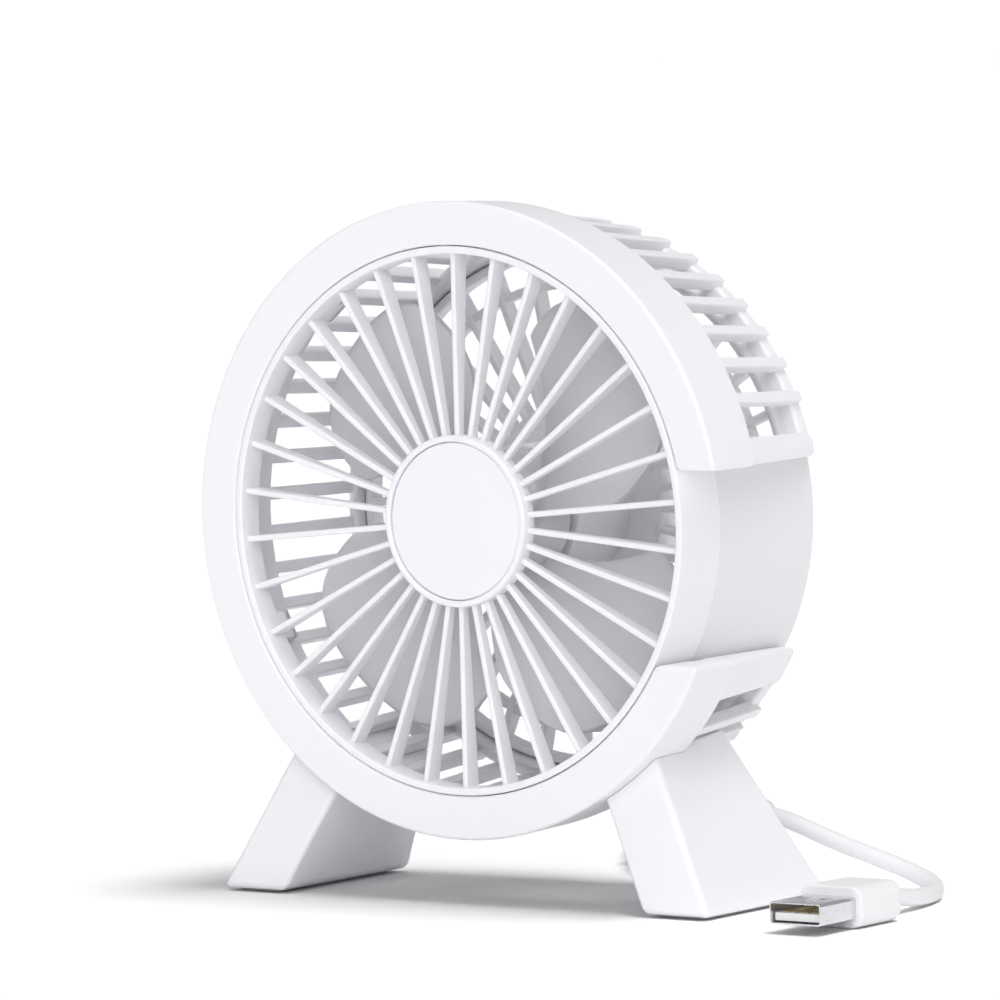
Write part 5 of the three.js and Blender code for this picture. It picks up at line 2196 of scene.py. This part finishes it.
@dataclass
class InnerWorks:
    """The motor, the switch and the hidden screws, kept as they are and given their finishes."""

    parts: dict[str, Slot] = field(
        default_factory=lambda: {
            "motor_can": Slot.STEEL,
            "motor_end_cap": Slot.INSULATOR,
            "motor_magnet_right": Slot.MAGNET,
            "motor_magnet_left": Slot.MAGNET,
            "motor_bush_front": Slot.BRASS,
            "motor_bush_rear": Slot.BRASS,
            "motor_brush_right": Slot.COPPER,
            "motor_brush_left": Slot.COPPER,
            "motor_shaft": Slot.STEEL,
            "rotor_core": Slot.CORE,
            "commutator": Slot.COPPER,
            "impeller_clip": Slot.INSULATOR,
            "control_board": Slot.BOARD,
            "switch_body": Slot.SWITCH,
            "switch_plunger": Slot.INSULATOR,
        }
    )

    def dress(self) -> None:
        """Gives each carried-over part its finish; the remaining screws are steel."""
        for name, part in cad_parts.items():
            if part.hide_render:
                continue
            slot = self.parts.get(name, Slot.STEEL)
            part.data.materials.clear()
            part.data.materials.append(FINISHES[slot].material())
            LOG.info("%s: carried over as %s", name, slot.value)


# ---------------------------------------------------------------- studio


@dataclass(frozen=True)
class Viewpoint:
    """A long lens from the front right, a little above the fan's axis."""

    azimuth: float = 36.19
    elevation: float = 4.117
    roll: float = -1.408
    distance: float = 1.5
    lens: float = 266.59
    shift: tuple[float, float] = (0.0465, 0.0216)

    def build(self) -> None:
        """Makes the scene's camera."""
        a, e, s = (math.radians(v) for v in (self.azimuth, self.elevation, self.roll))
        right = Vector((math.cos(a), math.sin(a), 0))
        back = Vector((math.sin(a) * math.cos(e), -math.cos(a) * math.cos(e), math.sin(e)))
        up = back.cross(right)
        across = right * math.cos(s) + up * math.sin(s)
        above = up * math.cos(s) - right * math.sin(s)
        data = bpy.data.cameras.new("camera")
        data.lens = self.lens
        data.sensor_width = 36
        data.shift_x, data.shift_y = self.shift
        data.clip_start, data.clip_end = 0.05, 50
        camera = new_object("camera", data)
        turn = Matrix((across, above, back)).transposed().to_4x4()
        camera.matrix_world = Matrix.Translation(ORIGIN + back * self.distance) @ turn
        bpy.context.scene.camera = camera


@dataclass(frozen=True)
class Studio:
    """A pale floor under an even white sky, with two broad lights from above."""

    sky: float = 0.4
    backdrop: float = 1.2
    key: float = 0.4  # share of full light on a surface that faces it
    key_from: tuple[float, float, float] = (0.46, -0.74, 0.52)
    key_softness: float = 44.0  # degrees
    top: float = 0.3
    top_from: tuple[float, float, float] = (0.3, -0.05, 1.0)
    top_softness: float = 30.0
    floor_light: float = 0.5  # falls on the floor alone, from above and the right
    floor_from: tuple[float, float, float] = (0.22, 0.1, 1.0)
    floor_softness: float = 20.0
    floor_tone: float = 0.9

    def light(
        self, name: str, share: float, source: tuple[float, float, float], softness: float
    ) -> bpy.types.Object:
        """Makes one broad distant light.

        Args:
            name: The light's name.
            share: Share of full light on a surface that faces it.
            source: The direction that it comes from.
            softness: The angle that it fills, in degrees.

        Returns:
            The light.
        """
        data = bpy.data.lights.new(name, "SUN")
        data.energy = math.pi * share
        data.angle = math.radians(softness)
        lamp = new_object(name, data)
        lamp.location = source
        lamp.rotation_euler = (-Vector(source)).to_track_quat("-Z", "Y").to_euler()
        return lamp

    def build(self) -> None:
        """Makes the floor, the sky and the lights."""
        scene = bpy.context.scene
        scene.view_settings.view_transform = "Standard"
        world = bpy.data.worlds.new("studio")
        world.use_nodes = True
        scene.world = world
        tree = world.node_tree
        back = next(n for n in tree.nodes if n.type == "BACKGROUND")
        path = node(tree, "ShaderNodeLightPath")
        back.inputs["Color"].default_value = (1, 1, 1, 1)
        strength = between(tree, path.outputs["Is Camera Ray"], self.sky, self.backdrop)
        tree.links.new(strength, back.inputs["Strength"])
        key = self.light("key", self.key, self.key_from, self.key_softness)
        self.light("top", self.top, self.top_from, self.top_softness)
        above = self.light("above_floor", self.floor_light, self.floor_from, self.floor_softness)
        floor = self.floor()
        for lamp, name, state in (
            (above, "floor_only", "INCLUDE"),
            (key, "all_but_floor", "EXCLUDE"),
        ):
            lit = bpy.data.collections.new(name)
            lit.objects.link(floor)
            lit.collection_objects[0].light_linking.link_state = state
            lamp.light_linking.receiver_collection = lit

    def floor(self) -> bpy.types.Object:
        """Makes the floor."""
        reach = 14.0
        corners = [(-reach, -reach, 0), (reach, -reach, 0), (reach, reach, 0), (-reach, reach, 0)]
        mesh = bpy.data.meshes.new("floor")
        mesh.from_pydata(corners, [], [(0, 1, 2, 3)])
        tone = bpy.data.materials.new("floor_paper")
        tone.use_nodes = True
        shader = next(n for n in tone.node_tree.nodes if n.type == "BSDF_PRINCIPLED")
        shader.inputs["Base Color"].default_value = (self.floor_tone,) * 3 + (1,)
        shader.inputs["Roughness"].default_value = 0.9
        shader.inputs["Specular IOR Level"].default_value = 0.1
        mesh.materials.append(tone)
        floor = new_object("floor", mesh)
        return floor


# ---------------------------------------------------------------- building


def main() -> None:
    """Builds the fan and its studio."""
    logging.basicConfig(level=logging.INFO, format="%(name)s %(message)s")
    Viewpoint().build()
    Studio().build()
    cord = Cord()
    cable = cord.build()
    tie = HankTie().build(cord)
    plug = UsbPlug().build()
    cord.declare()
    bezel = Bezel()
    bezel.build()
    bezel.bosses()
    FrontGrille().build()
    RearHousing().build()
    BackGrille().build()
    for side in Side:
        Foot(side).build()
    Impeller().build()
    RearCover().build()
    InnerWorks().dress()


if __name__ == "__main__":
    main()
